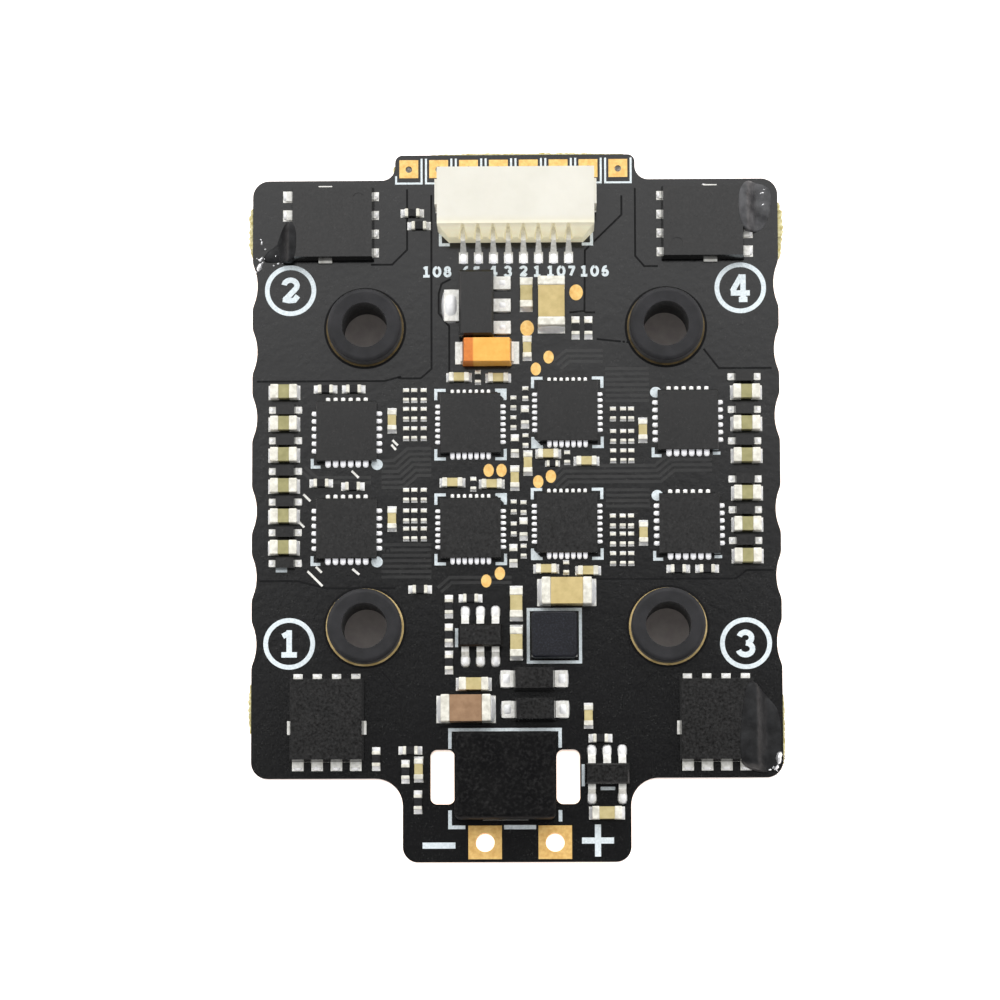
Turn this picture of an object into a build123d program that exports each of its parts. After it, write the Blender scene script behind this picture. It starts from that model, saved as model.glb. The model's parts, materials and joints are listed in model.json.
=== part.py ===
from build123d import *
import os
from collections import namedtuple

# Electronic speed controller for four motors, in millimetres.
# The origin is the centre of the mounting hole pattern on the board's underside.
# +X points to the right, +Y towards the signal connector and +Z out of the component side.

os.makedirs("parts", exist_ok=True)

# ---------------------------------------------------------------- board
BODY_X = 35.0
BODY_Y = 40.0
BODY_CORNER = 1.1
BOARD_T = 1.6
SIGNAL_TAB_X = 16.0
SIGNAL_TAB_END = 21.7
SIGNAL_TAB_CORNER = 0.5
SIGNAL_TAB_ROOT = 0.9
POWER_TAB_X = 15.0
POWER_TAB_END = -25.5
POWER_TAB_CORNER = 1.0
POWER_TAB_ROOT = 1.8

SCALLOP_R = 3.5
SCALLOP_DEPTH = 0.33
SCALLOP_BLEND = 1.2
SCALLOP_Y = (12.9, 8.45, 4.0, -2.2, -6.65, -11.1)

SLOT_CORNER = 0.45
SLOT_Y = (-21.7, -18.12)
SLOT_X = ((-5.68, -4.08), (2.6, 4.15))

COPPER = 0.04
TOP = 1
BOTTOM = -1

# ---------------------------------------------------------------- mounting
HOLE_PITCH = 20.0
GROMMET_BORE_R = 1.5
GROMMET_WAIST_R = 2.0
GROMMET_FLANGE_R = 2.45
GROMMET_FLANGE_T = 1.4
GROMMET_ROUND = 0.28
BARREL_T = 0.05
RING_R = 2.58
BARREL_PLAY = 0.05
BOARD_HOLE_R = GROMMET_WAIST_R + BARREL_PLAY + BARREL_T

# ---------------------------------------------------------------- wiring pads
SIGNAL_PAD = (1.26, 1.22)
SIGNAL_PAD_PITCH = 1.995
SIGNAL_PAD_COUNT = 8
SIGNAL_PAD_AT = (-0.1, 20.76)
SIGNAL_VIA_R = 0.22
SIGNAL_VIA_Y = 20.73

POWER_PAD = 2.2
POWER_PAD_X = (-2.1, 2.5)
POWER_PAD_Y = -24.2
POWER_HOLE_R = 0.62
BATTERY_PAD = (6.3, 7.0)
BATTERY_PAD_AT = (3.95, -21.55)
BATTERY_CORNER = 0.4
SLOT_MARGIN = 0.2
MOTOR_PAD = (1.7, 3.5)
MOTOR_PAD_X = 16.25
MOTOR_PAD_CORNER = 0.3

TEST_PADS = (
    (2.2, 8.0), (1.35, 7.2), (-1.8, 0.42), (-0.95, 0.42),
    (1.48, -0.35), (2.32, 0.0), (-1.08, -6.45), (-1.98, -6.95),
)
TEST_PAD = (0.68, 0.86)
PROBE_PADS = ((4.05, 12.35), (0.78, 9.95))
PROBE_PAD = (0.9, 1.06)

# ---------------------------------------------------------------- two-ended chips
# length, width and height of the whole chip, the length of each metal end cap,
# how far the copper land reaches past the end of the chip, and the cap's edge radius
Chip = namedtuple("Chip", "length width height cap land edge")
BULK_CHIP = Chip(3.3, 1.8, 1.5, 0.6, 0.3, 0.1)
BOOT_CHIP = Chip(1.78, 0.95, 0.85, 0.54, 0.16, 0.07)
MEDIUM_CHIP = Chip(1.95, 0.85, 0.8, 0.48, 0.2, 0.06)
SMALL_CHIP = Chip(1.34, 0.6, 0.5, 0.33, 0.18, 0.05)
RESISTOR_CHIP = Chip(1.0, 0.54, 0.38, 0.24, 0.28, 0.05)
TINY_CHIP = Chip(0.78, 0.4, 0.28, 0.2, 0.1, 0.05)
UNDER_CHIP = Chip(1.8, 1.0, 1.0, 0.42, 0.25, 0.08)
SHUNT_CHIP = Chip(3.2, 1.6, 0.6, 0.6, 0.3, 0.05)
CERAMIC_INSET = 0.03

# each place is x, y and the turn of the chip's length from +X, in degrees
FLAT = 0
UPRIGHT = 90
BULK_AT = ((3.33, -7.74, FLAT), (2.4, 11.54, UPRIGHT))
FILTER_AT = ((-3.33, -15.45, FLAT),)
BOOT_AT = tuple((-15.36, y, FLAT) for y in (5.68, 3.56, 1.47, -0.6, -2.63, -4.72))
BOOT_AT += tuple((15.28, y, FLAT) for y in (5.55, 3.44, 1.3, -1.2, -3.28, -5.38))
MEDIUM_AT = (
    (0.0, -8.46, UPRIGHT), (0.0, -11.05, UPRIGHT), (0.74, 12.22, UPRIGHT),
    (-2.82, -13.8, FLAT), (5.9, -22.3, FLAT),
)
SMALL_AT = (
    (-8.2, 3.77, UPRIGHT), (-8.2, -2.8, UPRIGHT), (8.42, 3.05, UPRIGHT),
    (8.42, -3.8, UPRIGHT), (0.78, 8.6, UPRIGHT), (0.8, 0.9, UPRIGHT),
    (-0.07, -0.1, UPRIGHT), (4.72, -15.9, UPRIGHT), (-6.45, -19.4, UPRIGHT),
    (-3.75, 6.65, FLAT), (-1.15, 6.6, FLAT), (-4.2, -0.4, FLAT), (-1.6, -0.5, FLAT),
    (2.15, 1.5, FLAT), (4.68, 1.0, FLAT), (1.98, -6.17, FLAT), (4.75, -6.3, FLAT),
)
RESISTOR_AT = (
    (-12.62, 5.9, FLAT), (-10.75, 5.9, FLAT), (-12.9, -0.4, FLAT),
    (-10.8, -0.62, FLAT), (10.7, -6.2, FLAT), (12.6, -6.2, FLAT),
    (-6.85, 17.75, FLAT), (-6.4, 16.9, FLAT), (-6.35, -7.5, FLAT),
    (-3.02, -8.1, FLAT), (-7.0, -18.15, FLAT), (5.5, -17.38, FLAT),
    (4.0, 9.95, UPRIGHT), (4.85, 9.95, UPRIGHT), (-4.45, -8.65, UPRIGHT),
    (-4.45, -10.55, UPRIGHT), (-4.45, -12.35, UPRIGHT), (-9.25, -18.7, UPRIGHT),
    (-7.32, -19.55, UPRIGHT), (-6.5, -21.55, UPRIGHT), (0.62, 3.98, UPRIGHT),
    (-0.06, 2.05, UPRIGHT), (-0.18, -5.28, UPRIGHT), (0.5, -3.5, UPRIGHT),
)
TINY_AT = tuple(
    (x, y, UPRIGHT)
    for columns, rows in (
        ((-7.27, -6.73, -6.1), (5.46, 4.2, 2.9, -1.22, -2.6, -3.8)),
        ((6.45, 7.12, 7.65), (4.15, 2.65, 1.35)),
        ((6.4, 7.05, 7.6), (-3.0, -4.2, -5.5)),
        ((-0.15,), (4.93, 3.6, -2.03, -3.5)),
        ((0.65,), (5.55, 2.4)),
        ((0.5,), (-2.08, -4.98)),
        ((-2.5,), (6.65,)),
        ((-2.82,), (-0.5,)),
        ((3.4,), (1.25,)),
        ((3.3,), (-6.08,)),
    )
    for x in columns
    for y in rows
) + ((2.43, 0.85, FLAT),)
UNDER_AT = tuple((0.0, y, UPRIGHT) for y in (16.2, 12.6, 7.0, 3.4, -0.4, -4.0, -9.6))
SHUNT_AT = ((-3.6, -16.9, FLAT),)

# ---------------------------------------------------------------- tantalum capacitor
TANTALUM_AT = ((-1.88, 8.28, FLAT),)
TANTALUM = (3.25, 1.8, 1.6)
TANTALUM_TAPER = 4
TANTALUM_EDGE = 0.06
TANTALUM_STANDOFF = 0.1
TANTALUM_LAND = (0.5, 1.5)
TANTALUM_CLIP = (0.14, 1.3, 0.75)

# ---------------------------------------------------------------- leadless controllers
QFN = 4.0
QFN_H = 0.8
QFN_TERMINAL_T = 0.12
QFN_MARK_R = 0.22
QFN_MARK_IN = 0.5
QFN_MARK_DEPTH = 0.03
QFN_EDGE = 0.04
QFN_REACH = 0.3
QFN_INNER = 0.35
QFN_PAD_MARGIN = 0.8
QFN_TERMINAL_SHARE = 0.55
CONTROLLER_AT = ((-3.0, 3.5, 0), (-3.0, -3.5, 0), (3.43, 4.28, 180), (3.38, -3.17, 180))
CONTROLLER_PITCH = 0.4
CONTROLLER_SIDE = 7
DRIVER_AT = ((-11.2, 3.0, 270), (-11.2, -3.5, 270), (11.4, 3.65, 90), (11.45, -3.25, 90))
DRIVER_PITCH = 0.5
DRIVER_SIDE = 6

# ---------------------------------------------------------------- power transistors
# the drain end points along each place's own +X
FET_X = 5.5
FET_Y = 4.9
FET_H = 0.9
FET_FRAME_T = 0.2
FET_TAPER = 7
FET_PITCH = 1.27
FET_LEAD = (0.95, 0.45, 0.15)
FET_TAB = (0.36, 0.62)
FET_PLATE = (4.3, 4.2)
FET_TIE_BAR = (0.9, 0.16)
FET_TIE_BAR_AT = 0.5
FET_SOURCE_LAND = (0.75, 0.6, 0.32)
FET_DRAIN_LAND = (0.95, 0.76, 0.58)
FET_DIMPLE_R = 0.4
FET_DIMPLE_DEPTH = 0.05
FET_DIMPLE_IN = (1.0, 0.9)
TOP_FETS = ((-12.15, 17.0, 180), (12.5, 16.97, 0), (-12.5, -16.15, 270), (13.15, -16.2, 270))
BOTTOM_FETS = tuple(
    (side * 11.9, y, 0 if side > 0 else 180) for side in (-1, 1) for y in (17.0, 3.8, -2.2, -16.6)
) + tuple(
    (side * 3.95, y, 0 if side > 0 else 180)
    for side in (-1, 1)
    for y in (15.0, 9.6, 4.2, -2.4, -7.8, -13.2)
)

# ---------------------------------------------------------------- small outline packages
BUCK_AT = (-2.37, -10.63)
BUCK_BODY = (2.9, 1.5, 1.1)
AMPLIFIER_AT = (5.92, -19.76)
AMPLIFIER_BODY = (2.9, 1.35, 1.1)
SOT_PITCH = 1.0
SOT_LEAD = 0.5
SOT_LEAD_T = 0.14
SOT_REACH = 1.08
SOT_RISE = 0.45
SOT_EDGE = 0.12
STANDOFF = 0.1

REGULATOR_AT = (-2.58, 11.46)
REGULATOR_BODY = (2.3, 4.4, 1.5)
REGULATOR_PITCH = 1.5
REGULATOR_LEAD = (1.12, 0.85, 0.4)
REGULATOR_TAB = (1.0, 2.1, 0.4)
REGULATOR_EDGE = 0.15

DIODE_AT = ((1.16, -13.46), (1.22, -15.48))
DIODE_BODY = (2.7, 1.55, 1.1)
DIODE_LEAD = (0.85, 1.1, 0.3)
DIODE_TAPER = 6

BOOT_DIODE_AT = tuple((-15.27, y) for y in (4.5, 2.45, 0.4, -1.65, -3.69, -5.74))
BOOT_DIODE_AT += tuple((15.15, y) for y in (6.6, 4.4, 2.3, -0.25, -2.3, -4.35))
BOOT_DIODE_BODY = (1.32, 0.8, 0.6)
BOOT_DIODE_LEAD = (0.42, 0.45, 0.14)

# ---------------------------------------------------------------- wound parts
INDUCTOR_AT = (2.5, -10.6)
INDUCTOR = (3.0, 3.05, 1.3)
INDUCTOR_PAD = (0.9, 2.8)
INDUCTOR_CORNER = 0.3
INDUCTOR_EDGE = 0.15
INDUCTOR_STANDOFF = 0.12
SUPPRESSOR_AT = (-0.75, -19.92)
SUPPRESSOR = (6.6, 5.65, 3.0)
SUPPRESSOR_TERMINAL = (1.6, 3.0, 0.3)
SUPPRESSOR_CORNER = 0.35
SUPPRESSOR_EDGE = 0.3

# ---------------------------------------------------------------- signal connector
CONNECTOR_X = 0.06
CONNECTOR_HALF = 5.2
CONNECTOR_BACK = 16.48
CONNECTOR_FRONT = 20.28
CONNECTOR_H = 2.95
CONNECTOR_WALL = 0.45
CONNECTOR_FLOOR = 0.55
CONNECTOR_CAVITY_DEPTH = 3.0
CONNECTOR_BOSS = (0.15, 1.7, 18.62)
CONNECTOR_BOSS_Z = (0.6, 2.9)
LEDGE_BACK = 15.74
LEDGE_HALF = 4.46
LEDGE_H = 1.9
GROOVE_NARROW = 0.16
GROOVE_WIDE = 0.62
PIN_COUNT = 8
PIN_PITCH = 1.0
PIN = 0.3
PIN_FOOT = (0.46, 0.16)
PIN_END = 14.46
PIN_HEEL = 15.05
PIN_TIP_IN = 0.7
PIN_Z = BOARD_T + 1.25
PIN_LAND = (0.6, 0.75)
PIN_LAND_Y = 14.72
CONNECTOR_TAB = (0.14, 1.5, 0.5)
CONNECTOR_TAB_LAND = (0.5, 1.7)


def spots(places):
    """Board locations from (x, y) or (x, y, turn) tuples."""
    return [Location((p[0], p[1], 0), (0, 0, p[2] if len(p) > 2 else 0)) for p in places]


def ends(places, offset):
    """Both ends of every place, offset along its own length."""
    return [spot * Location((s * offset, 0, 0)) for spot in spots(places) for s in (-1, 1)]


def shifted(places, offsets):
    """Every place repeated at each (x, y, turn) offset in its own frame."""
    moves = spots(offsets)
    return [spot * move for spot in spots(places) for move in moves]


def rectangles(where, length, width, level, corner=0.0):
    """Equal rectangles, one at each location, drawn at height level."""
    with BuildSketch(Plane.XY.offset(level)) as plan:
        with Locations(*where):
            if corner:
                RectangleRounded(length, width, corner)
            else:
                Rectangle(length, width)
    return plan.sketch


def slabs(where, length, width, side, low, high, corner=0.0, taper=0.0):
    """Equal blocks between two distances out from one face of the board."""
    level = BOARD_T + low if side == TOP else -low
    plan = rectangles(where, length, width, level, corner)
    extrude(plan, amount=side * (high - low), taper=taper)


def chip_body(places, chip, side=TOP):
    """The ceramic between the end caps, set in slightly from their faces."""
    slabs(
        spots(places), chip.length - 2 * chip.cap, chip.width - 2 * CERAMIC_INSET, side,
        COPPER + CERAMIC_INSET, COPPER + chip.height - CERAMIC_INSET,
    )


def chip_caps(places, chip, side=TOP):
    """The metal caps at both ends, with every edge rounded."""
    middle = (chip.length - chip.cap) / 2
    slabs(ends(places, middle), chip.cap, chip.width, side, COPPER, COPPER + chip.height)
    fillet(edges(), chip.edge)


def chip_lands(places, chip, side=TOP):
    """The copper lands that the end caps stand on."""
    size = chip.cap + chip.land
    middle = chip.length / 2 - chip.cap + size / 2
    slabs(ends(places, middle), size, chip.width, side, 0, COPPER)


def row(count, pitch):
    """Evenly spaced values, centred on zero."""
    return [(i - (count - 1) / 2) * pitch for i in range(count)]


def qfn_sides(places, count, pitch, offset):
    """Terminal locations round the four sides of leadless packages."""
    along = row(count, pitch)
    turned = [(x, y, a + quarter) for x, y, a in places for quarter in (0, 90, 180, 270)]
    return shifted(turned, [(offset, y, 0) for y in along])


def qfn_body(places):
    slabs(spots(places), QFN, QFN, TOP, COPPER + QFN_TERMINAL_T, COPPER + QFN_H)


def qfn_terminals(places, count, pitch):
    """Terminals that reach past the package sides, and the thermal pad below."""
    length = QFN_INNER + QFN_REACH
    where = qfn_sides(places, count, pitch, QFN / 2 + QFN_REACH - length / 2)
    slabs(where, length, pitch * QFN_TERMINAL_SHARE, TOP, 0, COPPER + QFN_TERMINAL_T)
    pad = QFN - 2 * QFN_PAD_MARGIN
    slabs(spots(places), pad, pad, TOP, 0, COPPER + QFN_TERMINAL_T)


def qfn_marks(places):
    """A shallow round mark in each package's first corner."""
    corner = QFN / 2 - QFN_MARK_IN
    with BuildSketch(Plane.XY.offset(BOARD_T + COPPER + QFN_H)) as marks:
        with Locations(*shifted(places, [(corner, corner, 0)])):
            Circle(QFN_MARK_R)
    extrude(marks.sketch, amount=-QFN_MARK_DEPTH, mode=Mode.SUBTRACT)


def fet_bodies(places, side):
    slabs(
        spots(places), FET_X, FET_Y, side,
        COPPER + FET_FRAME_T, COPPER + FET_FRAME_T + FET_H, taper=FET_TAPER,
    )


def fet_leads(places, side):
    """Source and gate leads at one end, drain plate, tie bars and four tabs at the other."""
    low, high = COPPER, COPPER + FET_FRAME_T
    along = row(4, FET_PITCH)
    length, width, reach = FET_LEAD
    leads = [(length / 2 - reach - FET_X / 2, y, 0) for y in along]
    slabs(shifted(places, leads), length, width, side, low, high)
    length, width = FET_TAB
    tabs = [(FET_X / 2 + length / 2, y, 0) for y in along]
    slabs(shifted(places, tabs), length, width, side, low, high)
    length, width = FET_PLATE
    slabs(shifted(places, [(FET_X / 2 - length / 2, 0, 0)]), length, width, side, low, high)
    length, reach = FET_TIE_BAR
    slabs(
        shifted(places, [(FET_TIE_BAR_AT, 0, 0)]), length, FET_Y + 2 * reach, side, low, high
    )


def fet_lands(places, side):
    """Four small source lands and four larger drain lands for each transistor."""
    for end, (length, width, reach) in ((-1, FET_SOURCE_LAND), (1, FET_DRAIN_LAND)):
        middle = end * (FET_X / 2 + reach - length / 2)
        lands = [(middle, y, 0) for y in row(4, FET_PITCH)]
        slabs(shifted(places, lands), length, width, side, 0, COPPER)


def gull_lead(width, reach, rise, thickness):
    """A formed lead: shoulder out of the body at y 0, foot flat on its land."""
    with BuildPart() as lead:
        with BuildSketch(Plane.YZ) as profile:
            with BuildLine():
                Polyline(
                    (0, rise), (0, rise + thickness),
                    (reach * 0.3, rise + thickness), (reach * 0.58, thickness),
                    (reach, thickness), (reach, 0),
                    (reach * 0.46, 0), (reach * 0.2, rise),
                    close=True,
                )
            make_face()
        extrude(amount=width / 2, both=True)
    return lead.part


def moulded(at, size, taper=0):
    """A moulded package body, standing clear of the board."""
    length, width, height = size
    slabs(spots([at]), length, width, TOP, COPPER + STANDOFF, COPPER + height, taper=taper)


def finish(block, label):
    """Labels a finished piece and writes it to its own file."""
    block.part.label = label
    export_step(block.part, f"parts/{label}.step")


def top_edges(block, height):
    """Edges that lie in the plane at one height above the board."""
    level = BOARD_T + height
    return block.edges().filter_by_position(Axis.Z, level - 0.001, level + 0.001)


# ================================================================ board
with BuildSketch() as outline:
    Rectangle(BODY_X, BODY_Y)
    fillet(outline.vertices(), BODY_CORNER)
    with Locations((0, SIGNAL_TAB_END / 2)):
        Rectangle(SIGNAL_TAB_X, SIGNAL_TAB_END)
    with Locations((0, POWER_TAB_END / 2)):
        Rectangle(POWER_TAB_X, -POWER_TAB_END)
    signal_corners = outline.vertices().filter_by(lambda v: v.Y > SIGNAL_TAB_END - 0.01)
    fillet(signal_corners, SIGNAL_TAB_CORNER)
    signal_roots = outline.vertices().filter_by(
        lambda v: abs(v.Y - BODY_Y / 2) < 0.01 and abs(abs(v.X) - SIGNAL_TAB_X / 2) < 0.01
    )
    fillet(signal_roots, SIGNAL_TAB_ROOT)
    power_corners = outline.vertices().filter_by(lambda v: v.Y < POWER_TAB_END + 0.01)
    fillet(power_corners, POWER_TAB_CORNER)
    power_roots = outline.vertices().filter_by(
        lambda v: abs(v.Y + BODY_Y / 2) < 0.01 and abs(abs(v.X) - POWER_TAB_X / 2) < 0.01
    )
    fillet(power_roots, POWER_TAB_ROOT)
    scallop_x = BODY_X / 2 + SCALLOP_R - SCALLOP_DEPTH
    with Locations(*[(s * scallop_x, y) for s in (-1, 1) for y in SCALLOP_Y]):
        Circle(SCALLOP_R, mode=Mode.SUBTRACT)
    scallop_ends = outline.vertices().filter_by(
        lambda v: abs(abs(v.X) - BODY_X / 2) < 0.01 and abs(v.Y) < BODY_Y / 2 - 2
    )
    fillet(scallop_ends, SCALLOP_BLEND)

with BuildPart() as circuit_board:
    extrude(outline.sketch, amount=BOARD_T)
    with BuildSketch() as openings:
        with GridLocations(HOLE_PITCH, HOLE_PITCH, 2, 2):
            Circle(BOARD_HOLE_R)
        with Locations(*[(x, POWER_PAD_Y) for x in POWER_PAD_X]):
            Circle(POWER_HOLE_R + BARREL_T)
        with Locations((SIGNAL_PAD_AT[0], SIGNAL_VIA_Y)):
            with GridLocations(SIGNAL_PAD_PITCH, 1, SIGNAL_PAD_COUNT, 1):
                Circle(SIGNAL_VIA_R)
        for x_low, x_high in SLOT_X:
            with Locations(((x_low + x_high) / 2, sum(SLOT_Y) / 2)):
                RectangleRounded(x_high - x_low, SLOT_Y[1] - SLOT_Y[0], SLOT_CORNER)
    extrude(openings.sketch, amount=BOARD_T, mode=Mode.SUBTRACT)
finish(circuit_board, "circuit_board")

# plated barrels through the mounting holes, with a ring on each face
with BuildPart() as mounting_rings:
    with BuildSketch() as barrels:
        with GridLocations(HOLE_PITCH, HOLE_PITCH, 2, 2):
            Circle(BOARD_HOLE_R)
            Circle(BOARD_HOLE_R - BARREL_T, mode=Mode.SUBTRACT)
    extrude(barrels.sketch, amount=BOARD_T)
    for ring_level in (-COPPER, BOARD_T):
        with BuildSketch(Plane.XY.offset(ring_level)) as ring:
            with GridLocations(HOLE_PITCH, HOLE_PITCH, 2, 2):
                Circle(RING_R)
                Circle(BOARD_HOLE_R - BARREL_T, mode=Mode.SUBTRACT)
        extrude(ring.sketch, amount=COPPER)
finish(mounting_rings, "mounting_rings")

# soft grommets: a waist in the hole between two rounded flanges
flange_low = -COPPER - GROMMET_FLANGE_T
flange_high = BOARD_T + COPPER + GROMMET_FLANGE_T
with BuildPart() as grommet:
    with BuildSketch(Plane.XZ) as section:
        with BuildLine():
            Polyline(
                (GROMMET_BORE_R, flange_low), (GROMMET_FLANGE_R, flange_low),
                (GROMMET_FLANGE_R, -COPPER), (GROMMET_WAIST_R, -COPPER),
                (GROMMET_WAIST_R, BOARD_T + COPPER), (GROMMET_FLANGE_R, BOARD_T + COPPER),
                (GROMMET_FLANGE_R, flange_high), (GROMMET_BORE_R, flange_high),
                close=True,
            )
        make_face()
        rim = section.vertices().filter_by(
            lambda v: v.X > GROMMET_FLANGE_R - 0.01 and abs(v.Y - BOARD_T / 2) > BOARD_T
        )
        fillet(rim, GROMMET_ROUND)
    revolve(axis=Axis.Z)
with BuildPart() as grommets:
    with GridLocations(HOLE_PITCH, HOLE_PITCH, 2, 2):
        add(grommet.part)
finish(grommets, "grommets")

# ================================================================ wiring pads
with BuildPart() as signal_pads:
    with BuildSketch(Plane.XY.offset(BOARD_T)) as signal_plan:
        with Locations(SIGNAL_PAD_AT):
            with GridLocations(SIGNAL_PAD_PITCH, 1, SIGNAL_PAD_COUNT, 1):
                Rectangle(*SIGNAL_PAD)
        with Locations((SIGNAL_PAD_AT[0], SIGNAL_VIA_Y)):
            with GridLocations(SIGNAL_PAD_PITCH, 1, SIGNAL_PAD_COUNT, 1):
                Circle(SIGNAL_VIA_R, mode=Mode.SUBTRACT)
    extrude(signal_plan.sketch, amount=COPPER)
finish(signal_pads, "signal_pads")

with BuildPart() as power_pads:
    power_spots = [(x, POWER_PAD_Y) for x in POWER_PAD_X]
    with BuildSketch(Plane.XY.offset(BOARD_T)) as power_plan:
        with Locations(*power_spots):
            Rectangle(POWER_PAD, POWER_PAD)
            Circle(POWER_HOLE_R, mode=Mode.SUBTRACT)
    extrude(power_plan.sketch, amount=COPPER)
    with BuildSketch() as power_barrels:
        with Locations(*power_spots):
            Circle(POWER_HOLE_R + BARREL_T)
            Circle(POWER_HOLE_R, mode=Mode.SUBTRACT)
    extrude(power_barrels.sketch, amount=BOARD_T)
finish(power_pads, "power_pads")

with BuildPart() as battery_pads:
    with BuildSketch() as battery_plan:
        with Locations(*[(s * BATTERY_PAD_AT[0], BATTERY_PAD_AT[1]) for s in (-1, 1)]):
            RectangleRounded(*BATTERY_PAD, BATTERY_CORNER)
        around_x, around_y = 2 * SLOT_MARGIN, SLOT_Y[1] - SLOT_Y[0] + 2 * SLOT_MARGIN
        for x_low, x_high in SLOT_X:
            with Locations(((x_low + x_high) / 2, sum(SLOT_Y) / 2)):
                Rectangle(x_high - x_low + around_x, around_y, mode=Mode.SUBTRACT)
        with Locations(*power_spots):
            Circle(POWER_HOLE_R, mode=Mode.SUBTRACT)
    extrude(battery_plan.sketch, amount=-COPPER)
finish(battery_pads, "battery_pads")

with BuildPart() as motor_pads:
    motor_spots = spots([(s * MOTOR_PAD_X, y) for s in (-1, 1) for y in SCALLOP_Y])
    slabs(motor_spots, *MOTOR_PAD, BOTTOM, 0, COPPER, corner=MOTOR_PAD_CORNER)
finish(motor_pads, "motor_pads")

with BuildPart() as test_pads:
    with BuildSketch(Plane.XY.offset(BOARD_T)) as test_plan:
        with Locations(*TEST_PADS):
            Ellipse(TEST_PAD[0] / 2, TEST_PAD[1] / 2)
        with Locations(*PROBE_PADS):
            Ellipse(PROBE_PAD[0] / 2, PROBE_PAD[1] / 2)
    extrude(test_plan.sketch, amount=COPPER)
finish(test_pads, "test_pads")

# ================================================================ copper lands
with BuildPart() as passive_lands:
    chip_lands(BULK_AT + FILTER_AT, BULK_CHIP)
    chip_lands(BOOT_AT, BOOT_CHIP)
    chip_lands(MEDIUM_AT, MEDIUM_CHIP)
    chip_lands(SMALL_AT, SMALL_CHIP)
    chip_lands(RESISTOR_AT, RESISTOR_CHIP)
    chip_lands(TINY_AT, TINY_CHIP)
finish(passive_lands, "passive_lands")

with BuildPart() as transistor_lands:
    fet_lands(TOP_FETS, TOP)
finish(transistor_lands, "transistor_lands")

with BuildPart() as underside_lands:
    fet_lands(BOTTOM_FETS, BOTTOM)
    chip_lands(UNDER_AT, UNDER_CHIP, BOTTOM)
    chip_lands(SHUNT_AT, SHUNT_CHIP, BOTTOM)
finish(underside_lands, "underside_lands")

# ================================================================ ceramic chips
with BuildPart() as bulk_capacitor_bodies:
    chip_body(BULK_AT, BULK_CHIP)
finish(bulk_capacitor_bodies, "bulk_capacitor_bodies")
with BuildPart() as bulk_capacitor_caps:
    chip_caps(BULK_AT, BULK_CHIP)
finish(bulk_capacitor_caps, "bulk_capacitor_caps")

with BuildPart() as filter_capacitor_body:
    chip_body(FILTER_AT, BULK_CHIP)
finish(filter_capacitor_body, "filter_capacitor_body")
with BuildPart() as filter_capacitor_caps:
    chip_caps(FILTER_AT, BULK_CHIP)
finish(filter_capacitor_caps, "filter_capacitor_caps")

with BuildPart() as boot_capacitor_bodies:
    chip_body(BOOT_AT, BOOT_CHIP)
finish(boot_capacitor_bodies, "boot_capacitor_bodies")
with BuildPart() as boot_capacitor_caps:
    chip_caps(BOOT_AT, BOOT_CHIP)
finish(boot_capacitor_caps, "boot_capacitor_caps")

with BuildPart() as medium_capacitor_bodies:
    chip_body(MEDIUM_AT, MEDIUM_CHIP)
finish(medium_capacitor_bodies, "medium_capacitor_bodies")
with BuildPart() as medium_capacitor_caps:
    chip_caps(MEDIUM_AT, MEDIUM_CHIP)
finish(medium_capacitor_caps, "medium_capacitor_caps")

with BuildPart() as small_capacitor_bodies:
    chip_body(SMALL_AT, SMALL_CHIP)
finish(small_capacitor_bodies, "small_capacitor_bodies")
with BuildPart() as small_capacitor_caps:
    chip_caps(SMALL_AT, SMALL_CHIP)
finish(small_capacitor_caps, "small_capacitor_caps")

with BuildPart() as resistor_bodies:
    chip_body(RESISTOR_AT, RESISTOR_CHIP)
finish(resistor_bodies, "resistor_bodies")
with BuildPart() as resistor_caps:
    chip_caps(RESISTOR_AT, RESISTOR_CHIP)
finish(resistor_caps, "resistor_caps")

with BuildPart() as divider_resistor_bodies:
    chip_body(TINY_AT, TINY_CHIP)
finish(divider_resistor_bodies, "divider_resistor_bodies")
with BuildPart() as divider_resistor_caps:
    chip_caps(TINY_AT, TINY_CHIP)
finish(divider_resistor_caps, "divider_resistor_caps")

with BuildPart() as underside_capacitor_bodies:
    chip_body(UNDER_AT, UNDER_CHIP, BOTTOM)
finish(underside_capacitor_bodies, "underside_capacitor_bodies")
with BuildPart() as underside_capacitor_caps:
    chip_caps(UNDER_AT, UNDER_CHIP, BOTTOM)
finish(underside_capacitor_caps, "underside_capacitor_caps")

with BuildPart() as shunt_body:
    chip_body(SHUNT_AT, SHUNT_CHIP, BOTTOM)
finish(shunt_body, "shunt_body")
with BuildPart() as shunt_caps:
    chip_caps(SHUNT_AT, SHUNT_CHIP, BOTTOM)
finish(shunt_caps, "shunt_caps")

# ================================================================ tantalum capacitor
with BuildPart() as tantalum_body:
    length, width, height = TANTALUM
    slabs(
        spots(TANTALUM_AT), length, width, TOP,
        COPPER + TANTALUM_STANDOFF, COPPER + height, taper=TANTALUM_TAPER,
    )
    fillet(tantalum_body.edges(), TANTALUM_EDGE)
finish(tantalum_body, "tantalum_body")
with BuildPart() as tantalum_terminals:
    clip_low = COPPER + TANTALUM_STANDOFF
    length, width = TANTALUM_LAND
    clip_t, clip_width, clip_high = TANTALUM_CLIP
    slabs(ends(TANTALUM_AT, TANTALUM[0] / 2 + length / 2), length, width, TOP, 0, clip_low)
    clip_x = TANTALUM[0] / 2 + clip_t / 2
    slabs(ends(TANTALUM_AT, clip_x), clip_t, clip_width, TOP, clip_low, COPPER + clip_high)
finish(tantalum_terminals, "tantalum_terminals")

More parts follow.
